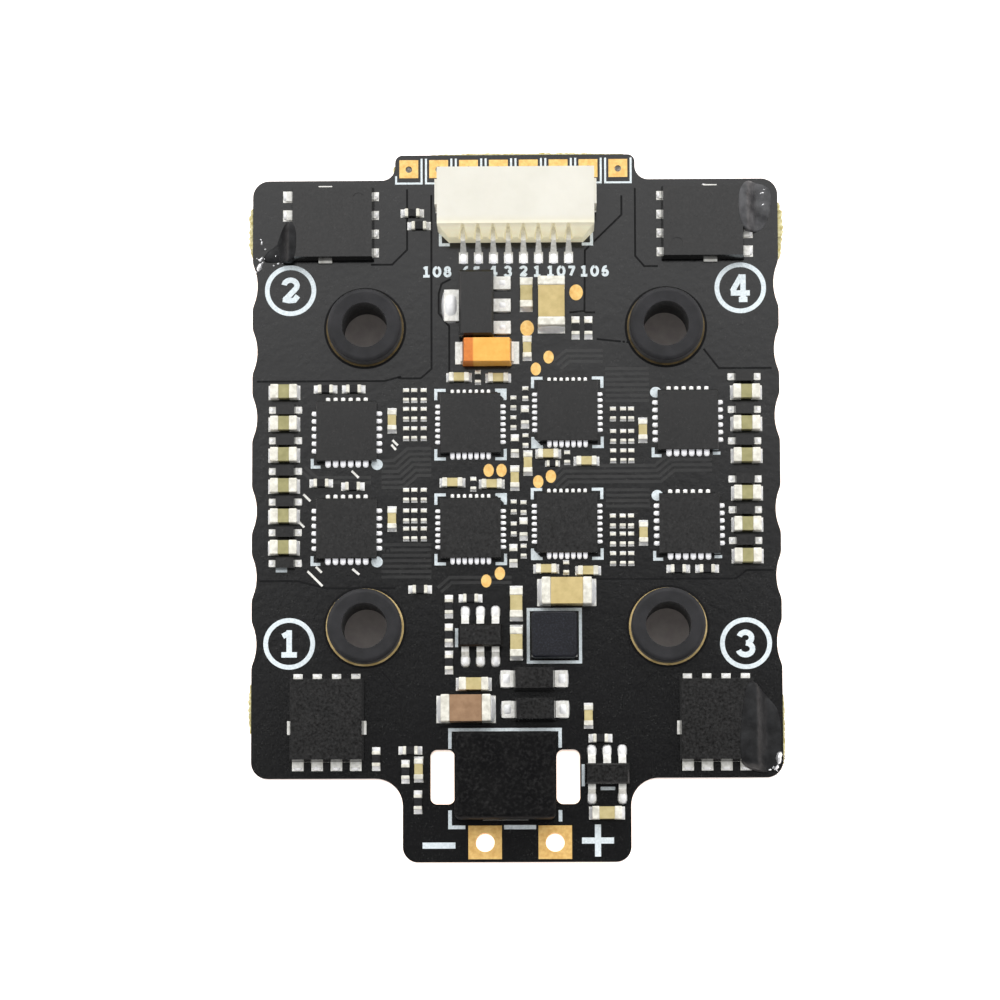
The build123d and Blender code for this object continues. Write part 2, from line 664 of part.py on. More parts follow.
# ================================================================ controllers and drivers
with BuildPart() as microcontroller_bodies:
    qfn_body(CONTROLLER_AT)
    qfn_marks(CONTROLLER_AT)
    chamfer(top_edges(microcontroller_bodies, COPPER + QFN_H).filter_by(GeomType.LINE), QFN_EDGE)
finish(microcontroller_bodies, "microcontroller_bodies")
with BuildPart() as microcontroller_terminals:
    qfn_terminals(CONTROLLER_AT, CONTROLLER_SIDE, CONTROLLER_PITCH)
finish(microcontroller_terminals, "microcontroller_terminals")

with BuildPart() as gate_driver_bodies:
    qfn_body(DRIVER_AT)
    qfn_marks(DRIVER_AT)
    chamfer(top_edges(gate_driver_bodies, COPPER + QFN_H).filter_by(GeomType.LINE), QFN_EDGE)
finish(gate_driver_bodies, "gate_driver_bodies")
with BuildPart() as gate_driver_terminals:
    qfn_terminals(DRIVER_AT, DRIVER_SIDE, DRIVER_PITCH)
finish(gate_driver_terminals, "gate_driver_terminals")

# ================================================================ power transistors
with BuildPart() as top_transistor_bodies:
    fet_bodies(TOP_FETS, TOP)
    fet_top = BOARD_T + COPPER + FET_FRAME_T + FET_H
    dimple = (FET_DIMPLE_IN[0] - FET_X / 2, FET_DIMPLE_IN[1] - FET_Y / 2, 0)
    with BuildSketch(Plane.XY.offset(fet_top)) as fet_marks:
        with Locations(*shifted(TOP_FETS, [dimple])):
            Circle(FET_DIMPLE_R)
    extrude(fet_marks.sketch, amount=-FET_DIMPLE_DEPTH, mode=Mode.SUBTRACT)
finish(top_transistor_bodies, "top_transistor_bodies")
with BuildPart() as top_transistor_leads:
    fet_leads(TOP_FETS, TOP)
finish(top_transistor_leads, "top_transistor_leads")

with BuildPart() as bottom_transistor_bodies:
    fet_bodies(BOTTOM_FETS, BOTTOM)
finish(bottom_transistor_bodies, "bottom_transistor_bodies")
with BuildPart() as bottom_transistor_leads:
    fet_leads(BOTTOM_FETS, BOTTOM)
finish(bottom_transistor_leads, "bottom_transistor_leads")

# ================================================================ small outline packages
sot_lead = gull_lead(SOT_LEAD, SOT_REACH, SOT_RISE, SOT_LEAD_T)
sot_low = BOARD_T + COPPER


def sot_spots(at, body, top_x, bottom_x):
    """Lead locations on the two long sides of a small outline package."""
    half = body[1] / 2
    upper = [Location((at[0] + x, at[1] + half, sot_low)) for x in top_x]
    lower = [Location((at[0] + x, at[1] - half, sot_low), (0, 0, 180)) for x in bottom_x]
    return upper + lower


with BuildPart() as buck_converter_body:
    moulded(BUCK_AT, BUCK_BODY)
    chamfer(top_edges(buck_converter_body, COPPER + BUCK_BODY[2]), SOT_EDGE)
finish(buck_converter_body, "buck_converter_body")
with BuildPart() as buck_converter_leads:
    all_three = (-SOT_PITCH, 0, SOT_PITCH)
    with Locations(*sot_spots(BUCK_AT, BUCK_BODY, all_three, all_three)):
        add(sot_lead)
finish(buck_converter_leads, "buck_converter_leads")

with BuildPart() as current_amplifier_body:
    moulded(AMPLIFIER_AT, AMPLIFIER_BODY)
    chamfer(top_edges(current_amplifier_body, COPPER + AMPLIFIER_BODY[2]), SOT_EDGE)
finish(current_amplifier_body, "current_amplifier_body")
with BuildPart() as current_amplifier_leads:
    outer_two = (-SOT_PITCH, SOT_PITCH)
    with Locations(*sot_spots(AMPLIFIER_AT, AMPLIFIER_BODY, all_three, outer_two)):
        add(sot_lead)
finish(current_amplifier_leads, "current_amplifier_leads")

with BuildPart() as regulator_body:
    moulded(REGULATOR_AT, REGULATOR_BODY)
    chamfer(top_edges(regulator_body, COPPER + REGULATOR_BODY[2]), REGULATOR_EDGE)
finish(regulator_body, "regulator_body")
with BuildPart() as regulator_leads:
    reg_x, reg_y = REGULATOR_AT
    length, width, height = REGULATOR_LEAD
    lead_x = reg_x + REGULATOR_BODY[0] / 2 + length / 2
    lead_places = spots([(lead_x, reg_y + y) for y in row(3, REGULATOR_PITCH)])
    slabs(lead_places, length, width, TOP, 0, height)
    length, width, height = REGULATOR_TAB
    tab_x = reg_x - REGULATOR_BODY[0] / 2 - length / 2
    slabs(spots([(tab_x, reg_y)]), length, width, TOP, 0, height)
finish(regulator_leads, "regulator_leads")

with BuildPart() as freewheel_diode_bodies:
    for place in DIODE_AT:
        moulded(place, DIODE_BODY, taper=DIODE_TAPER)
finish(freewheel_diode_bodies, "freewheel_diode_bodies")
with BuildPart() as freewheel_diode_leads:
    length, width, height = DIODE_LEAD
    lead_middle = (DIODE_BODY[0] + length) / 2
    slabs(ends(DIODE_AT, lead_middle), length, width, TOP, 0, height)
finish(freewheel_diode_leads, "freewheel_diode_leads")

with BuildPart() as boot_diode_bodies:
    length, width, height = BOOT_DIODE_BODY
    slabs(spots(BOOT_DIODE_AT), length, width, TOP, COPPER, COPPER + height, taper=DIODE_TAPER)
finish(boot_diode_bodies, "boot_diode_bodies")
with BuildPart() as boot_diode_leads:
    length, width, height = BOOT_DIODE_LEAD
    lead_middle = (BOOT_DIODE_BODY[0] + length) / 2
    slabs(ends(BOOT_DIODE_AT, lead_middle), length, width, TOP, 0, COPPER + height)
finish(boot_diode_leads, "boot_diode_leads")

# ================================================================ wound parts
with BuildPart() as inductor_core:
    core_low = COPPER + INDUCTOR_STANDOFF
    length, width, height = INDUCTOR
    slabs(
        spots([INDUCTOR_AT]), length, width, TOP, core_low, COPPER + height,
        corner=INDUCTOR_CORNER,
    )
    fillet(top_edges(inductor_core, COPPER + height), INDUCTOR_EDGE)
finish(inductor_core, "inductor_core")
with BuildPart() as inductor_terminals:
    inductor_pad_x = INDUCTOR[0] / 2 - INDUCTOR_PAD[0] / 2
    slabs(ends([INDUCTOR_AT], inductor_pad_x), *INDUCTOR_PAD, TOP, 0, core_low)
finish(inductor_terminals, "inductor_terminals")

with BuildPart() as suppressor_body:
    body_low = COPPER + SUPPRESSOR_TERMINAL[2]
    slabs(
        spots([SUPPRESSOR_AT]), SUPPRESSOR[0], SUPPRESSOR[1], TOP,
        body_low, COPPER + SUPPRESSOR[2], corner=SUPPRESSOR_CORNER,
    )
    fillet(top_edges(suppressor_body, COPPER + SUPPRESSOR[2]), SUPPRESSOR_EDGE)
finish(suppressor_body, "suppressor_body")
with BuildPart() as suppressor_terminals:
    length, width, _ = SUPPRESSOR_TERMINAL
    middle_y = SUPPRESSOR[1] / 2 - length / 2
    stands = [(SUPPRESSOR_AT[0], SUPPRESSOR_AT[1], UPRIGHT)]
    slabs(ends(stands, middle_y), length, width, TOP, 0, body_low)
finish(suppressor_terminals, "suppressor_terminals")

# ================================================================ signal connector
pin_x = [CONNECTOR_X + x for x in row(PIN_COUNT, PIN_PITCH)]
with BuildPart() as connector_housing:
    housing_low = BOARD_T + COPPER
    housing_high = housing_low + CONNECTOR_H
    # seen from the side: an upright front, a level top and a sloping back
    with BuildSketch(Plane.YZ) as housing_side:
        with BuildLine():
            Polyline(
                (CONNECTOR_FRONT, housing_low), (CONNECTOR_FRONT, housing_high),
                (CONNECTOR_BACK, housing_high), (LEDGE_BACK, housing_low + LEDGE_H),
                (LEDGE_BACK, housing_low),
                close=True,
            )
        make_face()
    extrude(amount=CONNECTOR_X + CONNECTOR_HALF)
    extrude(housing_side.sketch, amount=CONNECTOR_X - CONNECTOR_HALF)
    # seen from above: the back corners are cut off at an angle
    with BuildSketch(Plane.XY.offset(housing_low)) as housing_plan:
        with BuildLine():
            left, right = CONNECTOR_X - CONNECTOR_HALF, CONNECTOR_X + CONNECTOR_HALF
            Polyline(
                (left, CONNECTOR_FRONT), (left, CONNECTOR_BACK),
                (CONNECTOR_X - LEDGE_HALF, LEDGE_BACK), (CONNECTOR_X + LEDGE_HALF, LEDGE_BACK),
                (right, CONNECTOR_BACK), (right, CONNECTOR_FRONT),
                close=True,
            )
        make_face()
    extrude(housing_plan.sketch, amount=CONNECTOR_H, mode=Mode.INTERSECT)
    boss_x, boss_y, boss_at = CONNECTOR_BOSS
    boss_spots = spots([(CONNECTOR_X, boss_at)])
    boss_low, boss_high = CONNECTOR_BOSS_Z
    slabs(boss_spots, 2 * (CONNECTOR_HALF + boss_x), boss_y, TOP, boss_low, boss_high)
    # the mating cavity opens to the front, over the whole width inside the walls
    cavity_x = 2 * (CONNECTOR_HALF - CONNECTOR_WALL)
    cavity_y = CONNECTOR_FRONT - CONNECTOR_CAVITY_DEPTH / 2
    cavity = rectangles(
        spots([(CONNECTOR_X, cavity_y)]), cavity_x, CONNECTOR_CAVITY_DEPTH,
        housing_low + CONNECTOR_FLOOR,
    )
    cavity_h = CONNECTOR_H - CONNECTOR_WALL - CONNECTOR_FLOOR
    extrude(cavity, amount=cavity_h, mode=Mode.SUBTRACT)
    # a groove over each pin, widening towards the back
    with BuildSketch(Plane.XY.offset(PIN_Z)) as grooves:
        with Locations(*[(x, 0) for x in pin_x]):
            with BuildLine(mode=Mode.PRIVATE) as groove:
                Polyline(
                    (-GROOVE_WIDE / 2, LEDGE_BACK), (GROOVE_WIDE / 2, LEDGE_BACK),
                    (GROOVE_NARROW / 2, CONNECTOR_BACK), (-GROOVE_NARROW / 2, CONNECTOR_BACK),
                    close=True,
                )
            add(make_face(groove.edges(), mode=Mode.PRIVATE))
    extrude(grooves.sketch, amount=CONNECTOR_H, mode=Mode.SUBTRACT)
    # each pin passes through the back wall in its own passage
    passage = CONNECTOR_FRONT - LEDGE_BACK
    passages = rectangles(
        spots([(x, LEDGE_BACK + passage / 2) for x in pin_x]), PIN, passage, PIN_Z
    )
    extrude(passages, amount=PIN, mode=Mode.SUBTRACT)
finish(connector_housing, "connector_housing")

with BuildPart() as connector_pin:
    foot_low = BOARD_T + COPPER
    foot_high = foot_low + PIN_FOOT[1]
    tip = CONNECTOR_FRONT - PIN_TIP_IN
    with BuildSketch(Plane.YZ) as pin_profile:
        with BuildLine():
            Polyline(
                (PIN_END, foot_low), (PIN_HEEL, foot_low),
                (LEDGE_BACK, PIN_Z), (tip, PIN_Z),
                (tip, PIN_Z + PIN), (LEDGE_BACK - PIN_FOOT[1], PIN_Z + PIN),
                (PIN_HEEL - PIN_FOOT[1], foot_high), (PIN_END, foot_high),
                close=True,
            )
        make_face()
    extrude(amount=PIN_FOOT[0] / 2, both=True)
    # the pin narrows from its foot to its blade
    with BuildSketch(Plane.XY.offset(foot_low)) as pin_plan:
        with BuildLine():
            Polyline(
                (-PIN_FOOT[0] / 2, PIN_END), (PIN_FOOT[0] / 2, PIN_END),
                (PIN_FOOT[0] / 2, PIN_HEEL - PIN_FOOT[1]), (PIN / 2, LEDGE_BACK - PIN_FOOT[1]),
                (PIN / 2, tip), (-PIN / 2, tip),
                (-PIN / 2, LEDGE_BACK - PIN_FOOT[1]), (-PIN_FOOT[0] / 2, PIN_HEEL - PIN_FOOT[1]),
                close=True,
            )
        make_face()
    extrude(pin_plan.sketch, amount=CONNECTOR_H, mode=Mode.INTERSECT)
with BuildPart() as connector_pins:
    with Locations(*[(x, 0, 0) for x in pin_x]):
        add(connector_pin.part)
finish(connector_pins, "connector_pins")

boss_half = CONNECTOR_HALF + boss_x
with BuildPart() as connector_lands:
    slabs(spots([(x, PIN_LAND_Y) for x in pin_x]), *PIN_LAND, TOP, 0, COPPER)
    length, width = CONNECTOR_TAB_LAND
    land_x = boss_half - length / 2
    slabs(spots([(CONNECTOR_X + s * land_x, boss_at) for s in (-1, 1)]), length, width, TOP, 0, COPPER)
finish(connector_lands, "connector_lands")

with BuildPart() as connector_tabs:
    length, width, height = CONNECTOR_TAB
    tab_x = CONNECTOR_HALF + length / 2
    tab_spots = spots([(CONNECTOR_X + s * tab_x, boss_at) for s in (-1, 1)])
    slabs(tab_spots, length, width, TOP, COPPER, COPPER + height)
finish(connector_tabs, "connector_tabs")
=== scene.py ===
import json
import math
import random

import bpy
import numpy as np
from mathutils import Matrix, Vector


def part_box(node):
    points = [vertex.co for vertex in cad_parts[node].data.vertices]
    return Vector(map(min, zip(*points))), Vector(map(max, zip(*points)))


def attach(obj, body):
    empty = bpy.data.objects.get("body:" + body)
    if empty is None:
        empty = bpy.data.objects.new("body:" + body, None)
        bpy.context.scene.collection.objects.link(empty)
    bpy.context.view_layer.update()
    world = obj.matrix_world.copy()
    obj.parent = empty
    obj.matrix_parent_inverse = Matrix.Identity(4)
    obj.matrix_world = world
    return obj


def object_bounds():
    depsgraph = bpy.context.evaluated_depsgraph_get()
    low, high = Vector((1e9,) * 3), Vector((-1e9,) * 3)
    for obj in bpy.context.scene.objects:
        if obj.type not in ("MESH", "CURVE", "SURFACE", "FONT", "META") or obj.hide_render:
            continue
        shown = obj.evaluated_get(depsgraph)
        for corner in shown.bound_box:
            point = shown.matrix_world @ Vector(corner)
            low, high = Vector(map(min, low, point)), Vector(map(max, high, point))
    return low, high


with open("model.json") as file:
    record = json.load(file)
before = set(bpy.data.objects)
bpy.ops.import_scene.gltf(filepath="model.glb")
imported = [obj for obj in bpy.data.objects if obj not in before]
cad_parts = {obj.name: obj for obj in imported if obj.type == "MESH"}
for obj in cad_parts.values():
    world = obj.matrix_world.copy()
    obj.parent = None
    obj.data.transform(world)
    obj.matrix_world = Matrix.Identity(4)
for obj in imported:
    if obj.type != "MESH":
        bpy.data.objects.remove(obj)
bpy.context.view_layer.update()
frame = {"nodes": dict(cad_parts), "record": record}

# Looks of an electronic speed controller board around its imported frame.
# Places and sizes are in millimetres in the frame's axes; MM turns them into metres.

MM = 0.001
nodes = frame["nodes"]
chance = random.Random(7)


# ---------------- reading the frame
def box_mm(node):
    """The lowest and highest corners of a CAD node, in millimetres."""
    low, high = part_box(node)
    return low / MM, high / MM


def islands(node):
    """The box (low, high) of each separate solid in a CAD node, in millimetres."""
    mesh = nodes[node].data
    points = [tuple(round(c / MM, 4) for c in v.co) for v in mesh.vertices]
    parent = {}

    def root(p):
        while parent.setdefault(p, p) != p:
            parent[p] = parent[parent[p]]
            p = parent[p]
        return p

    for face in mesh.polygons:
        first = root(points[face.vertices[0]])
        for i in face.vertices[1:]:
            parent[root(points[i])] = first
    groups = {}
    for p in set(points):
        groups.setdefault(root(p), []).append(p)
    boxes = []
    for members in groups.values():
        spread = np.array(members)
        boxes.append((Vector(spread.min(0)), Vector(spread.max(0))))
    return sorted(boxes, key=lambda b: (round(b[0].x, 3), round(b[0].y, 3)))


def middles(node):
    """The middle, in plan, of each separate solid in a CAD node."""
    return [((low.x + high.x) / 2, (low.y + high.y) / 2) for low, high in islands(node)]


BOARD_LOW, BOARD_HIGH = box_mm("circuit_board")
TOP_Z = BOARD_HIGH.z
BOTTOM_Z = BOARD_LOW.z
# Heights over the mask, and the depth by which raised things are set into it.
INK = 0.02
GROOVE = 0.006
LAYER = 0.003
SUNK = 0.01


# ---------------- mesh building
MITRE_LEAST = 0.35
DOME_SEGMENTS = 16
MENISCUS_GRID = (5, 6)


def ribbon(path, width, closed=False):
    """The left and right sides of an even ribbon along a path, with mitred corners."""
    left, right = [], []
    count = len(path)
    for i, (x, y) in enumerate(path):
        ahead = path[(i + 1) % count] if closed or i < count - 1 else None
        behind = path[i - 1] if closed or i > 0 else None
        normals = []
        for a, b in ((behind, (x, y)), ((x, y), ahead)):
            if a is not None and b is not None:
                dx, dy = b[0] - a[0], b[1] - a[1]
                size = math.hypot(dx, dy)
                normals.append((-dy / size, dx / size))
        nx = sum(n[0] for n in normals) / len(normals)
        ny = sum(n[1] for n in normals) / len(normals)
        stretch = max(nx * nx + ny * ny, MITRE_LEAST)
        nx, ny = nx / stretch * width / 2, ny / stretch * width / 2
        left.append((x + nx, y + ny))
        right.append((x - nx, y - ny))
    return left, right


def arc(x, y, radius_x, radius_y, start, end, steps=14):
    """Points along an elliptical arc, with angles in degrees."""
    angles = [math.radians(start + (end - start) * i / steps) for i in range(steps + 1)]
    return [(x + radius_x * math.cos(a), y + radius_y * math.sin(a)) for a in angles]


def circle(x, y, radius, steps):
    """Points round a full circle, the last one next to the first."""
    return arc(x, y, radius, radius, 0, 360, steps)[:-1]


class Soup:
    """Collects vertices and faces in millimetres, then makes one object of them."""

    def __init__(self):
        self.points = []
        self.faces = []

    def add(self, points, faces):
        start = len(self.points)
        self.points += points
        self.faces += [[start + i for i in face] for face in faces]

    def prism(self, outline, low, high):
        """A closed block with a plan outline given counter-clockwise."""
        n = len(outline)
        points = [(x, y, low) for x, y in outline] + [(x, y, high) for x, y in outline]
        faces = [list(range(n, 2 * n)), list(range(n - 1, -1, -1))]
        faces += [[i, (i + 1) % n, n + (i + 1) % n, n + i] for i in range(n)]
        self.add(points, faces)

    def strip(self, path, width, low, high, closed=False):
        """A flat bar of even width along a path in plan."""
        left, right = ribbon(path, width, closed)
        count = len(path)
        points = [(x, y, z) for z in (low, high) for x, y in left + right]
        up = 2 * count
        faces = []
        for i in range(count if closed else count - 1):
            j = (i + 1) % count
            l0, l1, r0, r1 = i, j, count + i, count + j
            faces += [
                [up + r0, up + r1, up + l1, up + l0], [l0, l1, r1, r0],
                [l1, l0, up + l0, up + l1], [r0, r1, up + r1, up + r0],
            ]
        if not closed:
            last = count - 1
            faces.append([0, count, up + count, up])
            faces.append([count + last, last, up + last, up + count + last])
        self.add(points, faces)

    def dome(self, x, y, size_x, size_y, base, height, square=3.0, rings=4, turn=0.0):
        """A low rounded cap on a rounded-rectangle footprint, closed below."""
        segments = DOME_SEGMENTS
        points = [(x, y, base + height)]
        for ring in range(1, rings + 1):
            r = ring / rings
            z = base + height * (1 - r ** 2.4) if ring < rings else base
            for k in range(segments):
                a = 2 * math.pi * k / segments
                c, s = math.cos(a), math.sin(a)
                reach = (abs(c) ** square + abs(s) ** square) ** (-1 / square)
                px, py = reach * c * r * size_x / 2, reach * s * r * size_y / 2
                qx = px * math.cos(turn) - py * math.sin(turn)
                qy = px * math.sin(turn) + py * math.cos(turn)
                points.append((x + qx, y + qy, z))
        faces = [[0, 1 + k, 1 + (k + 1) % segments] for k in range(segments)]
        for ring in range(rings - 1):
            a0 = 1 + ring * segments
            b0 = a0 + segments
            for k in range(segments):
                j = (k + 1) % segments
                faces.append([a0 + k, b0 + k, b0 + j, a0 + j])
        rim = 1 + (rings - 1) * segments
        faces.append([rim + k for k in range(segments - 1, -1, -1)])
        self.add(points, faces)

    def meniscus(self, at, outward, width, reach, base, height, side=1):
        """Solder that climbs a metal face: full height at the face, thin at the land's edge."""
        dx, dy = outward
        steps, across = MENISCUS_GRID
        points = []
        for i in range(steps + 1):
            u = i / steps
            for k in range(across + 1):
                v = 2 * k / across - 1
                round_end = 1 - 0.3 * u * u * v * v
                lift = (1 - u) ** 1.8 * (1 - 0.35 * v ** 4) + 0.1 * (1 - u ** 4) * (1 - v ** 4)
                px = at[0] + dx * reach * u * round_end - dy * v * width / 2 * (1 - 0.12 * u)
                py = at[1] + dy * reach * u * round_end + dx * v * width / 2 * (1 - 0.12 * u)
                points.append((px, py, base + side * (height * lift + 0.012)))
        row = across + 1
        top = len(points)
        points += [(p[0], p[1], base) for p in points]
        faces = []
        for i in range(steps):
            for k in range(across):
                a, b = i * row + k, (i + 1) * row + k
                faces.append([a, b, b + 1, a + 1])
                faces.append([top + a + 1, top + b + 1, top + b, top + a])
        rim = list(range(row)) + [i * row + across for i in range(1, steps + 1)]
        rim += [steps * row + k for k in range(across - 1, -1, -1)]
        rim += [i * row for i in range(steps - 1, 0, -1)]
        for k, a in enumerate(rim):
            b = rim[(k + 1) % len(rim)]
            faces.append([a, b, top + b, top + a])
        if side < 0:
            faces = [face[::-1] for face in faces]
        self.add(points, faces)

    def make(self, name, material, smooth=False):
        """Links the collected faces as one piece that rides on the board."""
        mesh = bpy.data.meshes.new(name)
        mesh.from_pydata([[c * MM for c in p] for p in self.points], [], self.faces)
        mesh.validate()
        mesh.materials.append(material)
        if smooth:
            mesh.polygons.foreach_set("use_smooth", [True] * len(mesh.polygons))
        piece = bpy.data.objects.new(name, mesh)
        bpy.context.scene.collection.objects.link(piece)
        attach(piece, "root")


# ---------------- materials
class Graph:
    """The nodes of a material or of the world, with the coordinates that place its patterns."""

    def __init__(self, owner, coordinates):
        owner.use_nodes = True
        self.tree = owner.node_tree
        self.place = self.node("TexCoord").outputs[coordinates]

    def node(self, kind, *sources, **settings):
        """A new shader node, fed by the sources, with settings such as its operation."""
        node = self.tree.nodes.new("ShaderNode" + kind)
        for key, value in settings.items():
            setattr(node, key, value)
        for source, target in zip(sources, node.inputs):
            self.link(source, target)
        return node

    def link(self, output, target):
        self.tree.links.new(output, target)

    def axis(self, name):
        """One coordinate of the place."""
        return self.node("SeparateXYZ", self.place).outputs[name]

    def size_of(self, output):
        """A value without its sign."""
        return self.node("Math", output, operation="ABSOLUTE").outputs[0]

    def length(self, x, y):
        """The length of a level vector."""
        join = self.node("CombineXYZ", x, y)
        return self.node("VectorMath", join.outputs[0], operation="LENGTH").outputs["Value"]

    def spread(self, fac, low, high, start=0.3, end=0.7, kind="LINEAR"):
        """Maps the range from start to end to a value between low and high."""
        node = self.node("MapRange", fac, interpolation_type=kind)
        values = {"From Min": start, "From Max": end, "To Min": low, "To Max": high}
        for key, value in values.items():
            node.inputs[key].default_value = value
        return node.outputs["Result"]


class Shader(Graph):
    """A Principled material whose patterns are placed by the object's own coordinates."""

    def __init__(self, name, gloss=0.5, metallic=0.0):
        self.material = bpy.data.materials.new(name)
        super().__init__(self.material, "Object")
        self.bsdf = self.tree.nodes["Principled BSDF"]
        self.set("Specular IOR Level", gloss)
        self.set("Metallic", metallic)

    def set(self, name, value):
        self.bsdf.inputs[name].default_value = value

    def plug(self, output, name):
        self.link(output, self.bsdf.inputs[name])

    def noise(self, size, detail=4.0, roughness=0.55, stretch=(1, 1, 1)):
        """Noise with blotches of about size millimetres."""
        scale = self.node("Mapping", self.place)
        scale.inputs["Scale"].default_value = [s / (size * MM) for s in stretch]
        node = self.node("TexNoise", scale.outputs[0])
        node.inputs["Scale"].default_value = 1.0
        node.inputs["Detail"].default_value = detail
        node.inputs["Roughness"].default_value = roughness
        return node.outputs["Fac"]

    def spots(self, size, low, high, start=0.3, end=0.7, **settings):
        """A value that varies in blotches."""
        return self.spread(self.noise(size, **settings), low, high, start, end)

    def tint(self, size, first, second, start=0.35, end=0.65, **settings):
        """Two colours in blotches."""
        node = self.node("ValToRGB", self.noise(size, **settings))
        for stop, place, colour in zip(node.color_ramp.elements, (start, end), (first, second)):
            stop.position = place
            stop.color = (*colour, 1.0)
        return node.outputs["Color"]

    def blend(self, fac, first, second):
        """Mixes two colour outputs."""
        node = self.node("Mix", data_type="RGBA")
        self.link(fac, node.inputs["Factor"])
        self.link(first, node.inputs["A"])
        self.link(second, node.inputs["B"])
        return node.outputs["Result"]

    def bumps(self, size, depth, under=None, **settings):
        """Relief of about depth millimetres, laid over an earlier relief."""
        node = self.node("Bump")
        node.inputs["Distance"].default_value = depth * MM
        self.link(self.noise(size, **settings), node.inputs["Height"])
        if under is not None:
            self.link(under, node.inputs["Normal"])
        self.plug(node.outputs["Normal"], "Normal")
        return node.outputs["Normal"]

    def cloud(self, *tones, **settings):
        """Colours the surface in two tones, as tint has them."""
        self.plug(self.tint(*tones, **settings), "Base Color")

    def rough(self, size, low, high, **settings):
        """Varies the roughness."""
        self.plug(self.spots(size, low, high, **settings), "Roughness")

    def flatness(self):
        """One on level surfaces, nought on upright ones."""
        split = self.node("SeparateXYZ", self.node("NewGeometry").outputs["Normal"])
        return self.size_of(split.outputs["Z"])


def mask_shader(name, dark, light, roughness, gloss=0.5):
    """Black solder mask with orange-peel relief, over bare laminate at the cut edges."""
    look = Shader(name, gloss)
    faint = look.tint(2.5, dark, light)
    dust = look.tint(0.11, light, (0.045, 0.046, 0.043), 0.60, 0.80, detail=2)
    faint = look.blend(look.spots(1.6, 0.35, 1.0, 0.4, 0.7), faint, dust)
    edge = look.tint(0.9, (0.045, 0.036, 0.022), (0.012, 0.011, 0.010), stretch=(1, 1, 9))
    look.plug(look.blend(look.spread(look.flatness(), 0, 1, 0.4, 0.6), edge, faint), "Base Color")
    look.rough(0.1, roughness - 0.04, roughness + 0.06, detail=3)
    coarse = look.bumps(0.5, 0.004, detail=2)
    look.bumps(0.14, 0.0007, under=coarse, detail=1)
    return look.material


def grain_shader(name, dark, light, roughness, size=0.09, depth=0.008, gloss=0.25):
    """Moulding compound: fine sandy grain with slightly lighter specks."""
    look = Shader(name, gloss)
    broad = look.tint(1.4, dark, light)
    specks = look.tint(size * 1.3, dark, [c * 4 for c in light], 0.45, 0.8, detail=2)
    look.plug(look.blend(look.spots(size * 3, 0.25, 0.75), broad, specks), "Base Color")
    look.rough(size * 2, roughness - 0.08, roughness + 0.08)
    look.bumps(size, depth, detail=2)
    return look.material


def ceramic_shader(name, dark, light):
    """Fired ceramic: mottled colour, a little duller where the glaze is thin."""
    look = Shader(name, gloss=0.3)
    look.cloud(0.5, dark, light, 0.3, 0.7, detail=5)
    look.rough(0.2, 0.42, 0.62)
    look.bumps(0.15, 0.006, detail=4)
    return look.material


def metal_shader(name, dull, bright, roughness, size=0.25, depth=0.006, metallic=0.5):
    """Plated or tinned metal with cloudy brightness and small dents."""
    look = Shader(name, metallic=metallic)
    look.cloud(size, dull, bright, detail=5)
    look.rough(size * 0.7, roughness - 0.08, roughness + 0.12)
    look.bumps(size * 0.6, depth, detail=3)
    return look.material


def bead_shader():
    """Solder beads beside dark packages, with a faint painted glow that brightens them where the package
    walls shade them.
    """
    look = Shader("bead_solder_painted_glow", metallic=0.1)
    look.set("Roughness", 0.4)
    look.cloud(0.3, (0.86, 0.86, 0.87), (0.98, 0.98, 0.99), detail=5)
    # Painted glow: emission that stands in for light on beads in shade.
    look.set("Emission Color", (0.95, 0.95, 1.0, 1.0))
    look.set("Emission Strength", BEAD_PAINTED_GLOW)
    look.bumps(0.18, 0.003, detail=3)
    return look.material


def ring_shader():
    """Gold plating of the mounting rings, with painted shade: dark at the signal end, brightly lit towards
    the power end.
    """
    look = Shader("mounting_gold", metallic=0.4)
    # Painted shade and painted highlight: dark gold at the signal end, bright gold towards the power end.
    dull = look.tint(0.6, (0.07, 0.05, 0.02), (0.16, 0.11, 0.04))
    bright = look.tint(0.6, (0.50, 0.36, 0.14), (0.74, 0.56, 0.26))
    painted_light_towards_power = look.spread(look.axis("Y"), 1, 0, -9 * MM, -3 * MM)
    look.plug(look.blend(painted_light_towards_power, dull, bright), "Base Color")
    look.rough(0.2, 0.32, 0.5)
    look.bumps(0.15, 0.004, detail=3)
    return look.material


def rubber_shader():
    """Dusty black rubber with a soft moulded skin."""
    look = Shader("grommet_rubber", gloss=0.3)
    look.cloud(1.2, (0.008, 0.008, 0.0095), (0.018, 0.0175, 0.020))
    look.rough(0.3, 0.5, 0.7)
    look.set("Sheen Weight", 0.08)
    look.bumps(0.18, 0.012, detail=4)
    return look.material


def nylon_shader():
    """Cream nylon, yellower towards the back, with a painted glow along the back edge."""
    low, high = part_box("connector_housing")
    look = Shader("connector_nylon", gloss=0.3)
    face = look.tint(3.0, (0.70, 0.68, 0.60), (0.75, 0.73, 0.655))
    # A yellower tone towards the back.
    back = look.tint(0.8, (0.66, 0.60, 0.38), (0.76, 0.71, 0.50))
    near = look.spread(look.axis("Y"), 0, 1, low.y, low.y + 1.3 * MM)
    look.plug(look.blend(near, back, face), "Base Color")
    # Painted glow: emission that brightens the back edge as if lit.
    look.set("Emission Color", (0.86, 0.80, 0.58, 1.0))
    glow = look.spread(look.axis("Y"), 0.35, 0.0, low.y + 0.5 * MM, low.y + 1.0 * MM)
    look.plug(glow, "Emission Strength")
    look.set("Subsurface Weight", 0.08)
    look.set("Subsurface Radius", (0.4 * MM, 0.35 * MM, 0.25 * MM))
    look.rough(0.4, 0.36, 0.5)
    look.bumps(0.3, 0.006, detail=3)
    return look.material


